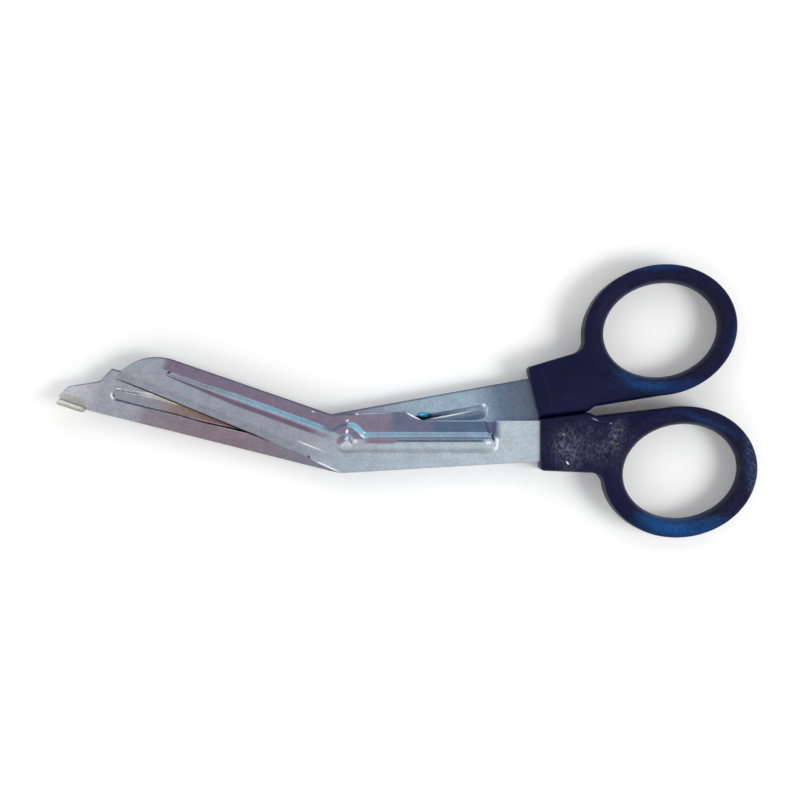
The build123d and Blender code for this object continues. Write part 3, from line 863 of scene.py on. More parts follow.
def boss_curves(ring):
    """A boss's inner and outer sides, both ending inside the ring's band, and the turns of their ends."""
    outer, neck_turn = neck_curve(ring)
    half_spread = radians(SHANK_SPREAD / 2)
    away = Vector((-sin(half_spread), -cos(half_spread)))
    turn = halved(*CLOSING_TURNS, lambda turn: ring_outward(ring, turn).angle_signed(away) > 0)
    top = ring_point(ring, turn, 1)
    pad_end = HANDLE_FRONT + PAD_FACE_LENGTH
    step = pad_end + PAD_STEP
    step_top = (pad_end, pad_face(pad_end))
    step_foot = (step, top[1] + (top[0] - step) * tan(half_spread) - STEP_DROP[ring])
    front = (HANDLE_FRONT, pad_face(HANDLE_FRONT))
    closed = rounded_outline([front, step_top, step_foot, top, (top[0], front[1] + MM)],
                             {step_top: STEP_CORNER, step_foot: STEP_CORNER})
    inner = closed[:-1] + [ring_point(ring, turn, 0.5)]
    outer.append(ring_point(ring, neck_turn, 0.5))
    return inner, outer, turn, neck_turn


def along_curve(curve, share):
    """The point at a share of a curve's length."""
    lengths = [hypot(b[0] - a[0], b[1] - a[1]) for a, b in zip(curve, curve[1:])]
    left = share * sum(lengths)
    for start, end, length in zip(curve, curve[1:], lengths):
        if left <= length:
            return Vector(start).lerp(Vector(end), left / length if length else 0)
        left -= length
    return Vector(curve[-1])


def from_curve(x, y, curve):
    """Distance of a point from a curve."""
    return min(from_segment(x, y, start, end)[0] for start, end in zip(curve, curve[1:]))


def shoulder(distance, radius, height):
    """How much a rounded edge has dropped at a distance from its side."""
    out = max(1 - distance / radius, 0.0)
    return height * (1 - sqrt(max(1 - out * out, 0.0)))


def placed(name, data):
    """A new object in the scene that holds the data."""
    item = bpy.data.objects.new(name, data)
    bpy.context.scene.collection.objects.link(item)
    return item


def object_from(bm, name):
    """A new object made from a bmesh, which is freed."""
    mesh = bpy.data.meshes.new(name)
    bm.to_mesh(mesh)
    bm.free()
    return placed(name, mesh)


def spin_profile(bm, profile, steps, closed=False):
    """Spins a profile of (radius, height) points round the Z axis."""
    verts = [bm.verts.new((radius, 0, height)) for radius, height in profile]
    edges = [bm.edges.new(pair) for pair in zip(verts, verts[1:])]
    if closed:
        edges.append(bm.edges.new((verts[-1], verts[0])))
    bmesh.ops.spin(bm, geom=verts + edges, cent=(0, 0, 0), axis=(0, 0, 1), angle=2 * pi, steps=steps,
                   use_merge=True)


def ring_mesh(ring):
    """A handle's ring as a mesh in along and outward: a rounded section carried round its finger hole."""
    upper = []
    for step in range(SECTION_STEPS + 1):
        turn = radians(90) * step / SECTION_STEPS
        upper.append((1 - RING_EDGE / RING_BAND * (1 - cos(turn)), MIDDLE - RING_EDGE * (1 - sin(turn))))
    for step in range(1, SECTION_STEPS + 1):
        share = step / SECTION_STEPS
        drop = RING_SLOPE_DROP * share ** SLOPE_CURVE
        upper.append((RING_CREST + (RING_SLOPE - RING_CREST) * share, MIDDLE - drop))
    for step in range(1, 2 * SECTION_STEPS):
        turn = RING_SLOPE_TURN + (radians(90) - RING_SLOPE_TURN) * step / (2 * SECTION_STEPS)
        fall = 1 - cos(turn) / cos(RING_SLOPE_TURN)
        reach = (sin(turn) - sin(RING_SLOPE_TURN)) / (1 - sin(RING_SLOPE_TURN))
        upper.append((RING_SLOPE * (1 - reach), (MIDDLE - RING_SLOPE_DROP) * (1 - fall)))
    section = upper + [(0, 0)] + [(share, -height) for share, height in reversed(upper)]
    bm = bmesh.new()
    profile = [(HOLE_HALF_LENGTH + RING_BAND * share, height) for share, height in section]
    spin_profile(bm, profile, RING_STEPS, closed=True)
    for vert in bm.verts:
        share = (hypot(vert.co.x, vert.co.y) - HOLE_HALF_LENGTH) / RING_BAND
        vert.co = (*ring_point(ring, atan2(vert.co.y, vert.co.x), share), vert.co.z + MIDDLE)
    return bm


def boss_mesh(ring):
    """A handle's boss as a mesh in along and outward: a grid laid between its sides, with rounded edges."""
    inner, outer, top_turn, neck_turn = boss_curves(ring)
    top_turn += 2 * pi
    inner_front, inner_end, outer_front, outer_end = (
        Vector(point) for point in (inner[0], inner[-1], outer[0], outer[-1]))
    bm = bmesh.new()
    bmesh.ops.create_grid(bm, x_segments=BOSS_COLUMNS, y_segments=BOSS_ROWS, size=0.5)
    for vert in bm.verts:
        column = (vert.co.x + 0.5) ** COLUMN_CURVE
        row = 0.5 - 0.5 * cos(pi * (vert.co.y + 0.5))
        on_front = inner_front.lerp(outer_front, row)
        on_ring = Vector(ring_point(ring, top_turn + (neck_turn - top_turn) * row, 0.5))
        ruled = along_curve(inner, column).lerp(along_curve(outer, column), row)
        ruled += on_front.lerp(on_ring, column)
        ruled -= inner_front.lerp(inner_end, column).lerp(outer_front.lerp(outer_end, column), row)
        vert.co = (*ruled, 0)
    lifted = set(made_verts(bmesh.ops.extrude_face_region(bm, geom=bm.faces[:])))
    for vert in bm.verts:
        x, y = vert.co.x, vert.co.y
        closing, outside = from_curve(x, y, inner[:-1]), from_curve(x, y, outer[:-1])
        ahead = x - HANDLE_FRONT
        drop = max(shoulder(closing, CLOSING_ROUND[ring], CLOSING_SHOULDER[ring]),
                   shoulder(outside, BOSS_ROUND, BOSS_SHOULDER), shoulder(ahead, FRONT_CORNER, FRONT_CORNER))
        sunk = faded(min(closing, outside), (PANEL_MARGIN, PANEL_SLOPE))
        sunk *= faded(ahead, (COLLAR_LENGTH, PANEL_SLOPE))
        height = MIDDLE - drop - PANEL_DEPTH * sunk
        off_x, off_y = max(1 - ahead / PLAN_CORNER, 0.0), max(1 - outside / PLAN_CORNER, 0.0)
        vert.co.x += PLAN_CORNER * off_x * (1 - sqrt(1 - off_y * off_y / 2))
        vert.co.y -= PLAN_CORNER * off_y * (1 - sqrt(1 - off_x * off_x / 2))
        vert.co.z = MIDDLE + (height if vert in lifted else -height)
    return bm


def handle_mesh(ring, place, dust_marks, painted_sheen_marks):
    """A handle in one: its ring and boss set on its shank and joined."""
    parts = []
    for made in (ring_mesh(ring), boss_mesh(ring)):
        for vert in made.verts:
            vert.co = (*place(vert.co.x, vert.co.y), vert.co.z)
        bmesh.ops.recalc_face_normals(made, faces=made.faces)
        parts.append(object_from(made, "handle_part"))
    joined = parts[0].modifiers.new("join", "BOOLEAN")
    joined.operation = "UNION"
    joined.solver = "EXACT"
    joined.object = parts[1]
    bpy.context.view_layer.update()
    whole = parts[0].evaluated_get(bpy.context.evaluated_depsgraph_get())
    bm = bmesh.new()
    bm.from_mesh(whole.data)
    for part in parts:
        mesh = part.data
        bpy.data.objects.remove(part)
        bpy.data.meshes.remove(mesh)
    # Two layers of amounts: dust, with a lighter tone over the ring bands, and a painted sheen, the reflection
    # of blue light.
    for name, marks in (("dust", dust_marks), ("painted_sheen", painted_sheen_marks)):
        layer = bm.verts.layers.float.new(name)
        for vert in bm.verts:
            if vert.co.z > MIDDLE:
                vert[layer] = with_marks((0.0,), vert.co.x, vert.co.y, marks, DUST_AND_SHEEN_FADE)[0]
    return bm


def finish_piece(bm, name, body, nodes, material):
    """Turns a bmesh into a smooth-shaded piece that stands for its CAD nodes."""
    for face in bm.faces:
        face.smooth = True
    for edge in bm.edges:
        edge.smooth = edge.is_manifold and edge.calc_face_angle(0) < SHARP_EDGE
    piece = object_from(bm, name)
    piece.data.materials.append(material)
    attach(piece, body)
    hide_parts(*nodes)


def top_outline():
    """Outline of the top blade and its shank, as a closed list of points."""
    tip = on_blade(TOP_LEAN, TOP_REACH, -TOP_EDGE_DROP)
    nose = on_blade(TOP_LEAN, TOP_REACH - NOSE_LENGTH, TOP_BACK_NOSE)
    back = on_blade(TOP_LEAN, TOP_ROOT, TOP_BACK_ROOT)
    step = on_shank(0, STEP_START, TOP_INNER_ROOT)
    foot = on_shank(0, STEP_END, SHANK_INNER_FRONT)
    heel = on_blade(TOP_LEAN, HEEL_LENGTH, -HEEL_DROP)
    hook = on_blade(TOP_LEAN, HOOK_LENGTH, -TOP_EDGE_DROP)
    root = (TOP_ROOT_START, -TOP_OUTER_ROOT)
    corners = [nose, back, step, foot, (HANDLE_FRONT, SHANK_INNER_FRONT), (HANDLE_FRONT, -TOP_OUTER_FRONT),
               root, heel, hook, tip]
    outline = rounded_outline(corners, {step: STEP_ROUND, foot: STEP_ROUND})
    tangent = (nose[0] - back[0], nose[1] - back[1])
    outline += reversed(tangent_arc(nose, tangent, tip))
    return outline, [back, root, heel, hook], tip, hook


def probe_outline():
    """Outline of the probe blade and its shank, as a closed list of points."""
    front, back = foot_line()
    behind = blade_place(PROBE_LEAN, *back)[0] - FOOT_RELIEF
    relief = on_blade(PROBE_LEAN, behind, -PROBE_OUTER_DROP)
    chin = on_blade(PROBE_LEAN, PROBE_REACH, PROBE_CHIN_RISE)
    crown = on_blade(PROBE_LEAN, PROBE_REACH - PROBE_CROWN, PROBE_CROWN_RISE)
    throat = on_blade(PROBE_LEAN, PROBE_REACH - PROBE_THROAT, PROBE_THROAT_RISE)
    peak = on_blade(PROBE_LEAN, PROBE_REACH - PROBE_PEAK, PROBE_EDGE_TIP)
    root = on_blade(PROBE_LEAN, PROBE_EDGE_START, PROBE_EDGE_ROOT)
    outer = on_shank(SHANK_SPREAD, -PROBE_ROOT, SHANK_OUTER_ROOT)
    step = on_shank(SHANK_SPREAD, STEP_START, -SHANK_INNER_ROOT)
    foot = on_shank(SHANK_SPREAD, STEP_END, -SHANK_INNER_FRONT)
    corners = [front, chin, crown, throat, peak, root, outer,
               on_shank(SHANK_SPREAD, HANDLE_FRONT, PROBE_OUTER_FRONT),
               on_shank(SHANK_SPREAD, HANDLE_FRONT, -PROBE_INNER_FRONT),
               foot, step, on_blade(PROBE_LEAN, 0, -PROBE_OUTER_DROP), relief, back]
    rounds = {chin: PROBE_CHIN_RADIUS, crown: PROBE_CROWN_RADIUS, throat: PROBE_THROAT_RADIUS,
              foot: STEP_ROUND, step: STEP_ROUND}
    return rounded_outline(corners, rounds), [peak, root, outer, front, back, relief], peak, root


def top_relief(x, y, shrink, flank):
    """Share of the pressed height of the top blade at a point."""
    rib = rib_share(x, y, TOP_RIB_WIDTH - shrink)
    shank_end = SHANK_RIB_END - SHANK_RIB_WIDTH / 2
    start = GROOVE_START if shrink else 0
    shank = capsule_share(x, y, (start, -SHANK_RIB_OFFSET), (shank_end, -SHANK_RIB_OFFSET),
                          (SHANK_RIB_WIDTH - shrink) / 2, flank)
    if shrink:
        fade = smooth((hypot(x, y) - PAD_RADIUS) / PAD_LAND)
        return joined_share(rib * fade, shank)
    pad = capsule_share(x, y, (0, PAD_OFFSET), (PAD_REACH, PAD_OFFSET), PAD_RADIUS, flank)
    return joined_share(rib, shank, pad)


def top_outer_height(x, y):
    """Height of the top blade's outer face."""
    _, _, tip, hook = TOP_SHAPE
    return TOP_INNER + ground(x, y, hook, tip, -1) + RIB_HEIGHT * top_relief(x, y, 0, FLANK)


def top_inner_height(x, y):
    """Height of its inner face."""
    return TOP_INNER + RIB_HEIGHT * top_relief(x, y, 2 * RIB_WALL, GROOVE_FLANK)


def probe_relief(x, y, shrink, flank):
    """Share of the pressed height of the probe blade at a point."""
    widen = 0 if shrink else 2 * RIB_WALL
    start = GROOVE_START if shrink else 0
    slope = tan(radians(SHANK_GROOVE_LEAN))
    first = start + (SHANK_GROOVE_WIDTH / 2 if shrink else 0)
    last = SHANK_GROOVE_END - SHANK_GROOVE_WIDTH / 2
    shank = capsule_share(x, y, on_shank(SHANK_SPREAD, first, SHANK_GROOVE_ROOT - first * slope),
                          on_shank(SHANK_SPREAD, last, SHANK_GROOVE_ROOT - last * slope),
                          (SHANK_GROOVE_WIDTH + widen) / 2, flank, limited if shrink else smooth)
    tip = PROBE_GROOVE_REACH - PROBE_GROOVE_WIDTH / 2
    if shrink:
        return joined_share(shank, groove_share(x, y, start, tip))
    blade = capsule_share(x, y, on_blade(PROBE_LEAN, start, -PROBE_GROOVE_OFFSET),
                          on_blade(PROBE_LEAN, tip, -PROBE_GROOVE_OFFSET),
                          (PROBE_GROOVE_WIDTH + widen) / 2, flank)
    pad = capsule_share(x, y, on_shank(SHANK_SPREAD, 0, -PAD_OFFSET),
                        on_shank(SHANK_SPREAD, PAD_REACH, -PAD_OFFSET), PAD_RADIUS, flank)
    return joined_share(shank, blade, pad)


def probe_inner_height(x, y):
    """Height of the probe blade's inner face, the one that is seen from above."""
    return PROBE_INNER - RIB_HEIGHT * probe_relief(x, y, True, SHANK_GROOVE_FLANK)


def probe_outer_height(x, y):
    """Height of its outer face, ground at the cutting edge."""
    _, _, peak, root = PROBE_SHAPE
    return PROBE_INNER - ground(x, y, root, peak, 1) - RIB_HEIGHT * probe_relief(x, y, False, FLANK)


def rise(relief, x, y, *shape):
    """How steeply a relief rises along Y at a point."""
    above, below = relief(x, y + SLOPE_STEP, *shape), relief(x, y - SLOPE_STEP, *shape)
    return RIB_HEIGHT * (above - below) / (2 * SLOPE_STEP)


def top_tone_and_light(x, y, outer, edge):
    """Tone of the top blade at a point, with painted reflections, highlights and shade, where edge is 1 at its
    upper rim and -1 at its cutting edge.
    """
    place = -blade_place(TOP_LEAN, x, y)[0] if x < 0 else x
    tone = along_stops(TOP_FLAT_TONES, place)
    if not outer:
        return tone
    # Painted reflection on the strip above the rib.
    blade_side = blade_place(TOP_RIB_LEAN, x, y)[1] - TOP_RIB_OFFSET
    above = blade_side + (y + SHANK_RIB_OFFSET - blade_side) * faded(x, RIB_BEND)
    strip_reflection = faded(above, STRIP_ABOVE) * faded(place, STRIP_BEHIND)
    tone = mixed(tone, along_stops(TOP_STRIP_REFLECTION_TONES, place), strip_reflection)
    # Painted highlight on flanks that face up, left off on the pad's left side, and painted light and shade on
    # flanks that face down.
    slope = rise(top_relief, x, y, 0, FLANK) / TOP_STEEP
    highlight_gap = faded(x, HIGHLIGHT_GAP_START) * faded(x, HIGHLIGHT_GAP_END)
    tone = mixed(tone, along_stops(TOP_UP_FLANK_HIGHLIGHT_TONES, place), smooth(-slope - LEVEL) * (1 - highlight_gap))
    tone = mixed(tone, along_stops(TOP_DOWN_FLANK_LIGHT_AND_SHADE, place), smooth(slope - LEVEL))
    # Painted shade along the shank rib's crest, mauve as a painted reflection near the pivot.
    wide = CREST_WIDENING * faded(x, CREST_NARROWS)
    crest_shade = faded(abs(y + wide / 2 - CREST_MIDDLE) - wide, CREST_SIDE)
    crest_shade *= faded(x, CREST_START) * faded(x, CREST_END)
    tone = mixed(tone, mixed(CREST_MAUVE_REFLECTION, CREST_SHADE, faded(x, MAUVE_END)), crest_shade)
    # Painted light on the ground bevel, lifted against the darker room it mirrors.
    _, _, tip, hook = TOP_SHAPE
    ground_off = 1 - ground(x, y, hook, tip, -1) / SHEET
    tone = tuple(min(level * (1 + BEVEL_PAINTED_LIGHT * smooth(ground_off * 2)), 1.0) for level in tone)
    # Painted glints and shade.
    tone = with_marks(tone, x, y, TOP_PAINTED_LIGHT)
    # Painted shadow along the cutting edge, or painted shade along the upper rim.
    if edge < 0:
        return mixed(tone, along_stops(CUTTING_EDGE_SHADOW_TONES, place), -edge * faded(place, EDGE_SHADOW_END))
    return mixed(tone, RIM_PAINTED_SHADE, RIM_SHADE_AMOUNT * edge * faded(x, RIM_SHADE_END))


def probe_tone_and_light(x, y, outer, edge):
    """The same of the probe blade, with painted reflections, highlights and shade, whose inner face is the one
    that is seen.
    """
    along = shank_place(SHANK_SPREAD, x, y)[0]
    place = -blade_place(PROBE_LEAN, x, y)[0] if along < 0 else along
    tone = along_stops(PROBE_FLAT_TONES, place)
    if outer:
        return tone
    shape = (True, SHANK_GROOVE_FLANK)
    # Painted shade on the groove floor, a painted highlight on its upper wall and painted light and shade on
    # its lower wall.
    tone = mixed(tone, along_stops(PROBE_FLOOR_TONES, place), probe_relief(x, y, *shape))
    slope = rise(probe_relief, x, y, *shape) / PROBE_STEEP
    tone = mixed(tone, along_stops(PROBE_UPPER_WALL_HIGHLIGHT, place), smooth(-slope - LEVEL))
    tone = mixed(tone, along_stops(PROBE_LOWER_WALL_LIGHT_AND_SHADE, place), smooth(slope - LEVEL))
    # Painted glints and reflections, and painted shade along the rim.
    return mixed(with_marks(tone, x, y, PROBE_PAINTED_LIGHT), RIM_PAINTED_SHADE, RIM_SHADE_AMOUNT * max(edge, 0.0))


TOP_SHAPE = top_outline()
PROBE_SHAPE = probe_outline()


def fill(tree, node, sockets):
    """Gives a node's sockets their values, or links them to other nodes."""
    for name, value in sockets.items():
        if isinstance(value, bpy.types.NodeSocket):
            tree.links.new(value, node.inputs[name])
        else:
            node.inputs[name].default_value = value


def add_node(tree, kind, result, sockets, **settings):
    """A node with its settings and sockets, given back as one of its outputs."""
    node = tree.nodes.new("ShaderNode" + kind)
    for name, value in settings.items():
        setattr(node, name, value)
    fill(tree, node, sockets)
    return node.outputs[result]


def new_material(name):
    """A node material with nothing but its output and its main shader, and its tree."""
    material = bpy.data.materials.new(name)
    material.use_nodes = True
    tree = material.node_tree
    tree.nodes.clear()
    output = tree.nodes.new("ShaderNodeOutputMaterial")
    shader = tree.nodes.new("ShaderNodeBsdfPrincipled")
    tree.links.new(shader.outputs["BSDF"], output.inputs["Surface"])
    return material, tree, output, shader


def add_noise(tree, scale, detail, stretch=(1, 1, 1), turn=0.0):
    """A noise pattern on object coordinates, stretched and turned about Z."""
    place = add_node(tree, "TexCoord", "Object", {})
    place = add_node(tree, "Mapping", "Vector", {"Vector": place, "Rotation": (0, 0, turn), "Scale": stretch})
    return add_node(tree, "TexNoise", "Fac", {"Vector": place, "Scale": scale, "Detail": detail})


def add_range(tree, value, low, high, start=0.3, end=0.7):
    """A value brought from one range to another."""
    return add_node(tree, "MapRange", "Result", {"Value": value, "From Min": start, "From Max": end,
                                                 "To Min": low, "To Max": high})


def add_math(tree, operation, first, second):
    """Two values taken together."""
    return add_node(tree, "Math", "Value", {0: first, 1: second}, operation=operation)


def add_mix(tree, first, second, factor):
    """Two colours mixed, each one given or read from a socket."""
    first, second = ((*colour, 1) if isinstance(colour, tuple) else colour for colour in (first, second))
    return add_node(tree, "Mix", "Result", {"Factor": factor, "A": first, "B": second}, data_type="RGBA")


def add_attribute(tree, name, result="Fac"):
    """What is kept at the points of a piece."""
    return add_node(tree, "Attribute", result, {}, attribute_name=name)


def add_spot(tree, centre_x, centre_y, half_length, half_width, turn):
    """A small elliptical spot on a handle's upper face."""
    place = add_node(tree, "TexCoord", "Object", {})
    sockets = {"Vector": place, "Location": (centre_x * MM, centre_y * MM, HANDLE_THICKNESS),
               "Rotation": (0, 0, radians(turn)), "Scale": (half_length * MM, half_width * MM, SPOT_DEPTH)}
    place = add_node(tree, "Mapping", "Vector", sockets, vector_type="TEXTURE")
    near = add_node(tree, "TexGradient", "Fac", {"Vector": place}, gradient_type="SPHERICAL")
    return add_range(tree, near, 0, 1, *SPOT_FADE)


def add_bump(tree, height, strength):
    """Fine relief in the shading."""
    return add_node(tree, "Bump", "Normal", {"Height": height, "Strength": strength, "Distance": BUMP_DEPTH})


def steel_material(name, turn):
    """Pressed steel, tumbled to a dull shine, with faint drawing marks along the blade, over the tone kept at
    each point, which holds painted reflections, highlights and shade.
    """
    material, tree, _, shader = new_material(name)
    mottle, grain = add_noise(tree, *STEEL_MOTTLE), add_noise(tree, *STEEL_GRAIN)
    marks = add_noise(tree, *STEEL_MARKS, turn)
    drift = add_range(tree, add_noise(tree, *STEEL_DRIFT), *STEEL_TINTING)
    tint = add_mix(tree, STEEL_WARM, STEEL_COOL, drift)
    tone_and_painted_light = add_attribute(tree, "tone_and_painted_light", "Color")
    colour = add_node(tree, "VectorMath", "Vector", {0: tone_and_painted_light, 1: tint}, operation="MULTIPLY")
    for pattern, depth in zip((mottle, grain, marks), STEEL_DEPTHS):
        factor = add_range(tree, pattern, 1 - depth, 1 + depth)
        colour = add_node(tree, "VectorMath", "Vector", {0: colour, "Scale": factor}, operation="SCALE")
    fill(tree, shader, {"Base Color": colour, "Metallic": 1.0, "Normal": add_bump(tree, marks, STEEL_BUMP),
                        "Roughness": add_range(tree, mottle, *STEEL_ROUGHNESS)})
    return material


def plastic_material(name, settings):
    """Moulded plastic, deep navy, dusty in some places, with a painted sheen of reflected blue light in others,
    a few spots and one painted highlight.
    """
    material, tree, _, shader = new_material(name)
    cloud, speck = add_noise(tree, *PLASTIC_CLOUD), add_noise(tree, *PLASTIC_SPECK)
    grain, drift = add_noise(tree, *PLASTIC_GRAIN), add_noise(tree, *PLASTIC_DRIFT)
    light = tuple(level * CLOUD_LIFT for level in settings.plastic)
    colour = add_mix(tree, tuple(settings.plastic), light, add_range(tree, cloud, 0, 1))
    # Painted sheen, the reflection of blue light, broken up by specks.
    painted_sheen = add_math(tree, "MULTIPLY", add_attribute(tree, "painted_sheen"), add_range(tree, speck, *PAINTED_SHEEN_SPECKS))
    colour = add_mix(tree, colour, tuple(settings.painted_sheen), painted_sheen)
    dust = add_math(tree, "MULTIPLY", add_range(tree, drift, *DUST_DRIFT), add_range(tree, speck, *DUST_SPECKS))
    dust = add_math(tree, "MULTIPLY", add_attribute(tree, "dust"), dust)
    colour = add_mix(tree, colour, tuple(settings.dust), dust)
    for *place, tone in PLASTIC_SPOTS_AND_GLINT:
        colour = add_mix(tree, colour, tone, add_spot(tree, *place))
    fill(tree, shader, {"Base Color": colour, "Roughness": add_range(tree, cloud, *PLASTIC_ROUGHNESS),
                        "Specular IOR Level": PLASTIC_SPECULAR,
                        "Normal": add_bump(tree, grain, PLASTIC_BUMP)})
    return material


def add_seen(tree):
    """Whether the camera sees a thing straight, and whether it sees it at all, as in a mirror or glass."""
    path = tree.nodes.new("ShaderNodeLightPath").outputs
    either = add_math(tree, "MAXIMUM", path["Is Camera Ray"], path["Is Glossy Ray"])
    return path["Is Camera Ray"], add_math(tree, "MAXIMUM", either, path["Is Transmission Ray"])


def floor_material(name, settings):
    """Paper that is lifted towards white where it is seen, which leaves the object's light as it is."""
    material, tree, output, shader = new_material(name)
    fill(tree, shader, {"Base Color": (*settings.floor, 1), "Roughness": PAPER_ROUGHNESS,
                        "Specular IOR Level": 0.0})
    _, seen = add_seen(tree)
    lift = add_math(tree, "MULTIPLY", seen, settings.glow)
    glow = add_node(tree, "Emission", "Emission", {"Strength": lift})
    both = add_node(tree, "AddShader", "Shader", {0: shader.outputs["BSDF"], 1: glow})
    tree.links.new(both, output.inputs["Surface"])
    return material


def fill_world(tree, strength):
    """Soft light from all round, the studio that is mirrored, and white for what the camera sees."""
    by_camera, seen = add_seen(tree)
    sides = tree.nodes.new("ShaderNodeSeparateXYZ")
    fill(tree, sides, {"Vector": add_node(tree, "TexCoord", "Generated", {})})
    ramp = tree.nodes.new("ShaderNodeValToRGB")
    for place, _ in SKY_STOPS[1:-1]:
        ramp.color_ramp.elements.new((place + 1) / 2)
    for element, (place, colour) in zip(ramp.color_ramp.elements, SKY_STOPS):
        element.position = (place + 1) / 2
        element.color = (*colour, 1)
    fill(tree, ramp, {"Fac": add_range(tree, sides.outputs["Y"], 0, 1, -1, 1)})
    soft = add_node(tree, "Background", "Background",
                    {"Color": add_range(tree, sides.outputs["Z"], *OVERHEAD), "Strength": strength})
    shown = add_node(tree, "Background", "Background",
                     {"Color": add_mix(tree, ramp.outputs["Color"], (1, 1, 1), by_camera)})
    choice = add_node(tree, "MixShader", "Shader", {"Fac": seen, 1: soft, 2: shown})
    fill(tree, tree.nodes.new("ShaderNodeOutputWorld"), {"Surface": choice})


def add_lamp(name, energy, size, place, colour):
    """An area lamp that the camera doesn't see."""
    lamp_data = bpy.data.lights.new(name, "AREA")
    lamp_data.shape = "RECTANGLE"
    lamp_data.size, lamp_data.size_y = size
    lamp_data.energy = energy
    lamp_data.color = colour
    lamp = placed(name, lamp_data)
    lamp.location = place
    lamp.rotation_euler = (Vector(STAGE_MIDDLE) - lamp.location).to_track_quat("-Z", "Y").to_euler()
    lamp.visible_camera = False
    return lamp


class SCISSORS_PG_steel(PropertyGroup):
    """Sizes of the steel pieces that a user may change."""

    rim: FloatProperty(
        name="Rim rounding", description="Rounding of the stamped rims", default=0.12 * MM, unit="LENGTH")
    head_radius: FloatProperty(
        name="Head radius", description="Radius of the rivet's domed head", default=HEAD_RADIUS,
        unit="LENGTH")


class SCISSORS_PG_handles(PropertyGroup):
    """Colours of the handles that a user may change."""

    plastic: FloatVectorProperty(
        name="Plastic", description="Colour of the moulded plastic", default=(0.002, 0.0027, 0.0215),
        subtype="COLOR", min=0, max=1)
    dust: FloatVectorProperty(
        name="Dust", description="Colour of the dust in the sunken panels", default=linear(112, 112, 128),
        subtype="COLOR", min=0, max=1)
    # The colour of the painted sheen, the reflection of blue light on the handles' shoulders and walls.
    painted_sheen: FloatVectorProperty(
        name="Sheen", description="Colour of the plastic where it is worn to a shine",
        default=(0.003, 0.07, 0.24), subtype="COLOR", min=0, max=1)


class SCISSORS_PG_stage(PropertyGroup):
    """Colours and light of the stage."""

    floor: FloatVectorProperty(
        name="Floor", description="Colour of the floor", default=(0.98, 0.98, 0.98), subtype="COLOR",
        min=0, max=1)
    glow: FloatProperty(
        name="Floor glow", description="How far the floor is lifted towards white where it is seen",
        default=0.05, subtype="FACTOR", min=0, max=1)
    sky: FloatProperty(
        name="Soft light", description="Strength of the light from all round", default=0.92,
        subtype="FACTOR", min=0, max=2)
    key: FloatProperty(
        name="Key light", description="Power of the lamp over the object", default=1.3,
        subtype="POWER", min=0)


class SCISSORS_OT_top_blade(Operator):
    """Builds the top blade with its shank, ribs and ground edge."""

    bl_idname = "scissors.top_blade"
    bl_label = "Top blade"

    def execute(self, context):
        outline, corners, _, _ = TOP_SHAPE
        bm = laid_grid(outline, TOP_LEAN, 0, corners, context.scene.scissors_steel.rim)
        add_tang(bm, 0, -TANG_OUTER, TANG_INNER)
        cut_hole(bm, RIVET_RADIUS + RUNNING_FIT)
        add_faces(bm, 1, top_outer_height, top_inner_height, top_tone_and_light)
        finish_piece(bm, "top_blade_steel", "top_half", ["top_blade"],
                     steel_material("top_blade_steel", radians(-TOP_LEAN)))
        return {"FINISHED"}


class SCISSORS_OT_probe_blade(Operator):
    """Builds the probe blade with its shank, grooves and folded foot."""

    bl_idname = "scissors.probe_blade"
    bl_label = "Probe blade"

    def execute(self, context):
        outline, corners, _, _ = PROBE_SHAPE
        rim = context.scene.scissors_steel.rim
        rows = foot_rows(rim)
        bm = laid_grid(outline, PROBE_LEAN, SHANK_SPREAD, corners, rim, folded=True)
        add_tang(bm, SHANK_SPREAD, -TANG_INNER, TANG_OUTER)
        add_foot(bm, rows)
        cut_hole(bm, RIVET_RADIUS + RIVET_FIT)
        add_faces(bm, -1, probe_outer_height, probe_inner_height, probe_tone_and_light, rows)
        finish_piece(bm, "probe_blade_steel", "probe_half", ["probe_blade"],
                     steel_material("probe_blade_steel", radians(-PROBE_LEAN)))
        return {"FINISHED"}


class SCISSORS_OT_pivot_rivet(Operator):
    """Builds the rivet with its domed head and peened tail."""

    bl_idname = "scissors.pivot_rivet"
    bl_label = "Pivot rivet"

    def execute(self, context):
        head_radius = context.scene.scissors_steel.head_radius
        head_seat = TOP_OUTER + RIB_HEIGHT + RUNNING_FIT
        tail_seat = PROBE_OUTER - RIB_HEIGHT
        profile = []
        for step in range(DOME_STEPS + 1):
            share = step / DOME_STEPS
            height = HEAD_RIM + (HEAD_HEIGHT - HEAD_RIM) * (1 - share ** 2)
            profile.append((head_radius * share, head_seat + height))
        profile += [(RIVET_RADIUS, head_seat), (RIVET_RADIUS, tail_seat)]
        for step in range(DOME_STEPS, -1, -1):
            turn = radians(90 * step / DOME_STEPS)
            profile.append((TAIL_RADIUS * sin(turn), tail_seat - TAIL_HEIGHT * cos(turn)))
        bm = bmesh.new()
        layer = bm.verts.layers.float_color.new("tone_and_painted_light")
        spin_profile(bm, profile, RIVET_SIDES)
        bmesh.ops.remove_doubles(bm, verts=bm.verts, dist=MERGE_DISTANCE)
        bmesh.ops.recalc_face_normals(bm, faces=bm.faces)
        for vert in bm.verts:
            # Painted light and shade on the head only.
            marks = RIVET_PAINTED_LIGHT if vert.co.z > MIDDLE else ()
            vert[layer] = (*with_marks(RIVET_TONE, vert.co.x, vert.co.y, marks), 1)
        finish_piece(bm, "pivot_rivet_steel", "probe_half", ["pivot_rivet"],
                     steel_material("rivet_steel", 0))
        return {"FINISHED"}


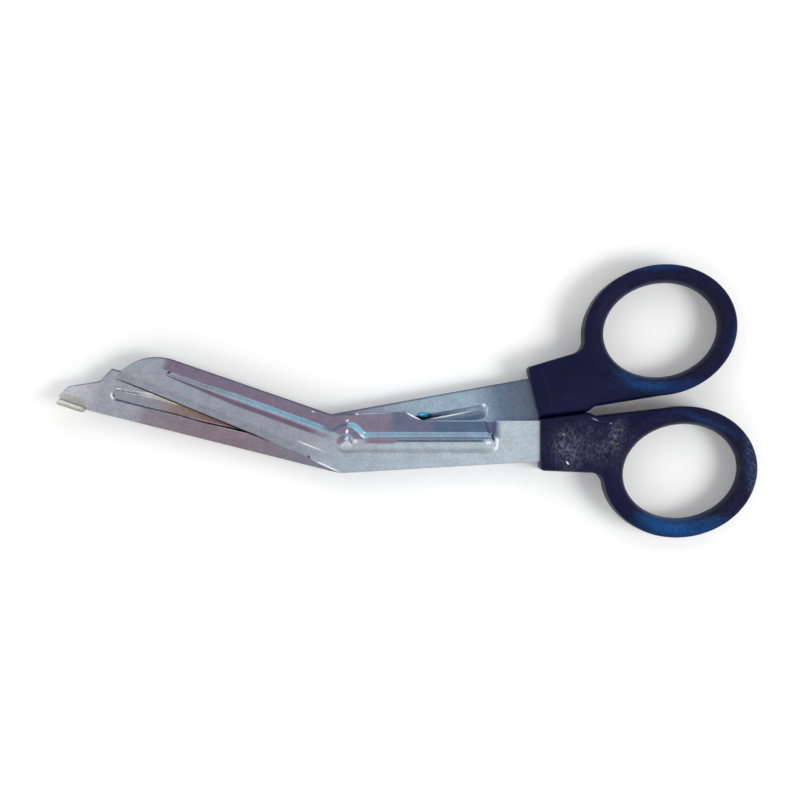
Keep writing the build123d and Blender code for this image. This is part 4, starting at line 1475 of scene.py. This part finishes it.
class SCISSORS_OT_handles(Operator):
    """Builds the two moulded handles."""

    bl_idname = "scissors.handles"
    bl_label = "Handles"

    def execute(self, context):
        plastic = plastic_material("handle_plastic", context.scene.scissors_handles)
        bm = handle_mesh(FINGER_RING, lambda along, outward: (along, -outward), FINGER_DUST, FINGER_PAINTED_SHEEN)
        finish_piece(bm, "finger_handle_moulding", "top_half", ["finger_handle"], plastic)
        bm = handle_mesh(THUMB_RING, partial(on_shank, SHANK_SPREAD), THUMB_DUST, THUMB_PAINTED_SHEEN)
        finish_piece(bm, "thumb_handle_moulding", "probe_half", ["thumb_handle"], plastic)
        return {"FINISHED"}


class SCISSORS_OT_stage(Operator):
    """Builds the floor, the light and the camera."""

    bl_idname = "scissors.stage"
    bl_label = "Stage"

    def execute(self, context):
        scene = context.scene
        settings = scene.scissors_stage
        scene.view_settings.view_transform = "Standard"
        bm = bmesh.new()
        bmesh.ops.create_grid(bm, x_segments=1, y_segments=1, size=FLOOR_HALF)
        floor = object_from(bm, "floor")
        floor.data.materials.append(floor_material("floor_paper", settings))

        world = bpy.data.worlds.new("studio")
        scene.world = world
        world.use_nodes = True
        world.node_tree.nodes.clear()
        fill_world(world.node_tree, settings.sky)
        add_lamp("key", settings.key, *KEY_LAMP).visible_glossy = False
        add_lamp("window", WINDOW_POWER, *WINDOW_LAMP).visible_diffuse = False

        camera_data = bpy.data.cameras.new("camera")
        camera_data.lens = CAMERA_LENS
        camera_data.sensor_width = CAMERA_SENSOR
        camera_data.clip_start = CAMERA_CLIP
        scene.camera = placed("camera", camera_data)
        scene.camera.location = CAMERA_PLACE
        return {"FINISHED"}


class SCISSORS_PT_build(Panel):
    """Lists the pieces in the 3D view's sidebar."""

    bl_idname = "SCISSORS_PT_build"
    bl_label = "Bandage scissors"
    bl_space_type = "VIEW_3D"
    bl_region_type = "UI"
    bl_category = "Scissors"

    def draw(self, context):
        scene = context.scene
        for settings in (scene.scissors_steel, scene.scissors_handles, scene.scissors_stage):
            for name in settings.bl_rna.properties.keys():
                if name not in ("rna_type", "name"):
                    self.layout.prop(settings, name)
        for operator in OPERATORS:
            self.layout.operator(operator.bl_idname)


OPERATORS = (SCISSORS_OT_stage, SCISSORS_OT_probe_blade, SCISSORS_OT_top_blade, SCISSORS_OT_pivot_rivet,
             SCISSORS_OT_handles)
CLASSES = (SCISSORS_PG_steel, SCISSORS_PG_handles, SCISSORS_PG_stage, *OPERATORS, SCISSORS_PT_build)


def register():
    """Adds the classes and the settings to Blender."""
    for item in CLASSES:
        bpy.utils.register_class(item)
    bpy.types.Scene.scissors_steel = PointerProperty(type=SCISSORS_PG_steel)
    bpy.types.Scene.scissors_handles = PointerProperty(type=SCISSORS_PG_handles)
    bpy.types.Scene.scissors_stage = PointerProperty(type=SCISSORS_PG_stage)


def unregister():
    """Takes them out again."""
    del bpy.types.Scene.scissors_stage
    del bpy.types.Scene.scissors_handles
    del bpy.types.Scene.scissors_steel
    for item in reversed(CLASSES):
        bpy.utils.unregister_class(item)


def main():
    """Builds every piece and the stage."""
    register()
    bpy.ops.scissors.stage()
    bpy.ops.scissors.probe_blade()
    bpy.ops.scissors.top_blade()
    bpy.ops.scissors.pivot_rivet()
    bpy.ops.scissors.handles()
    bpy.context.view_layer.update()


if __name__ == "__main__":
    main()
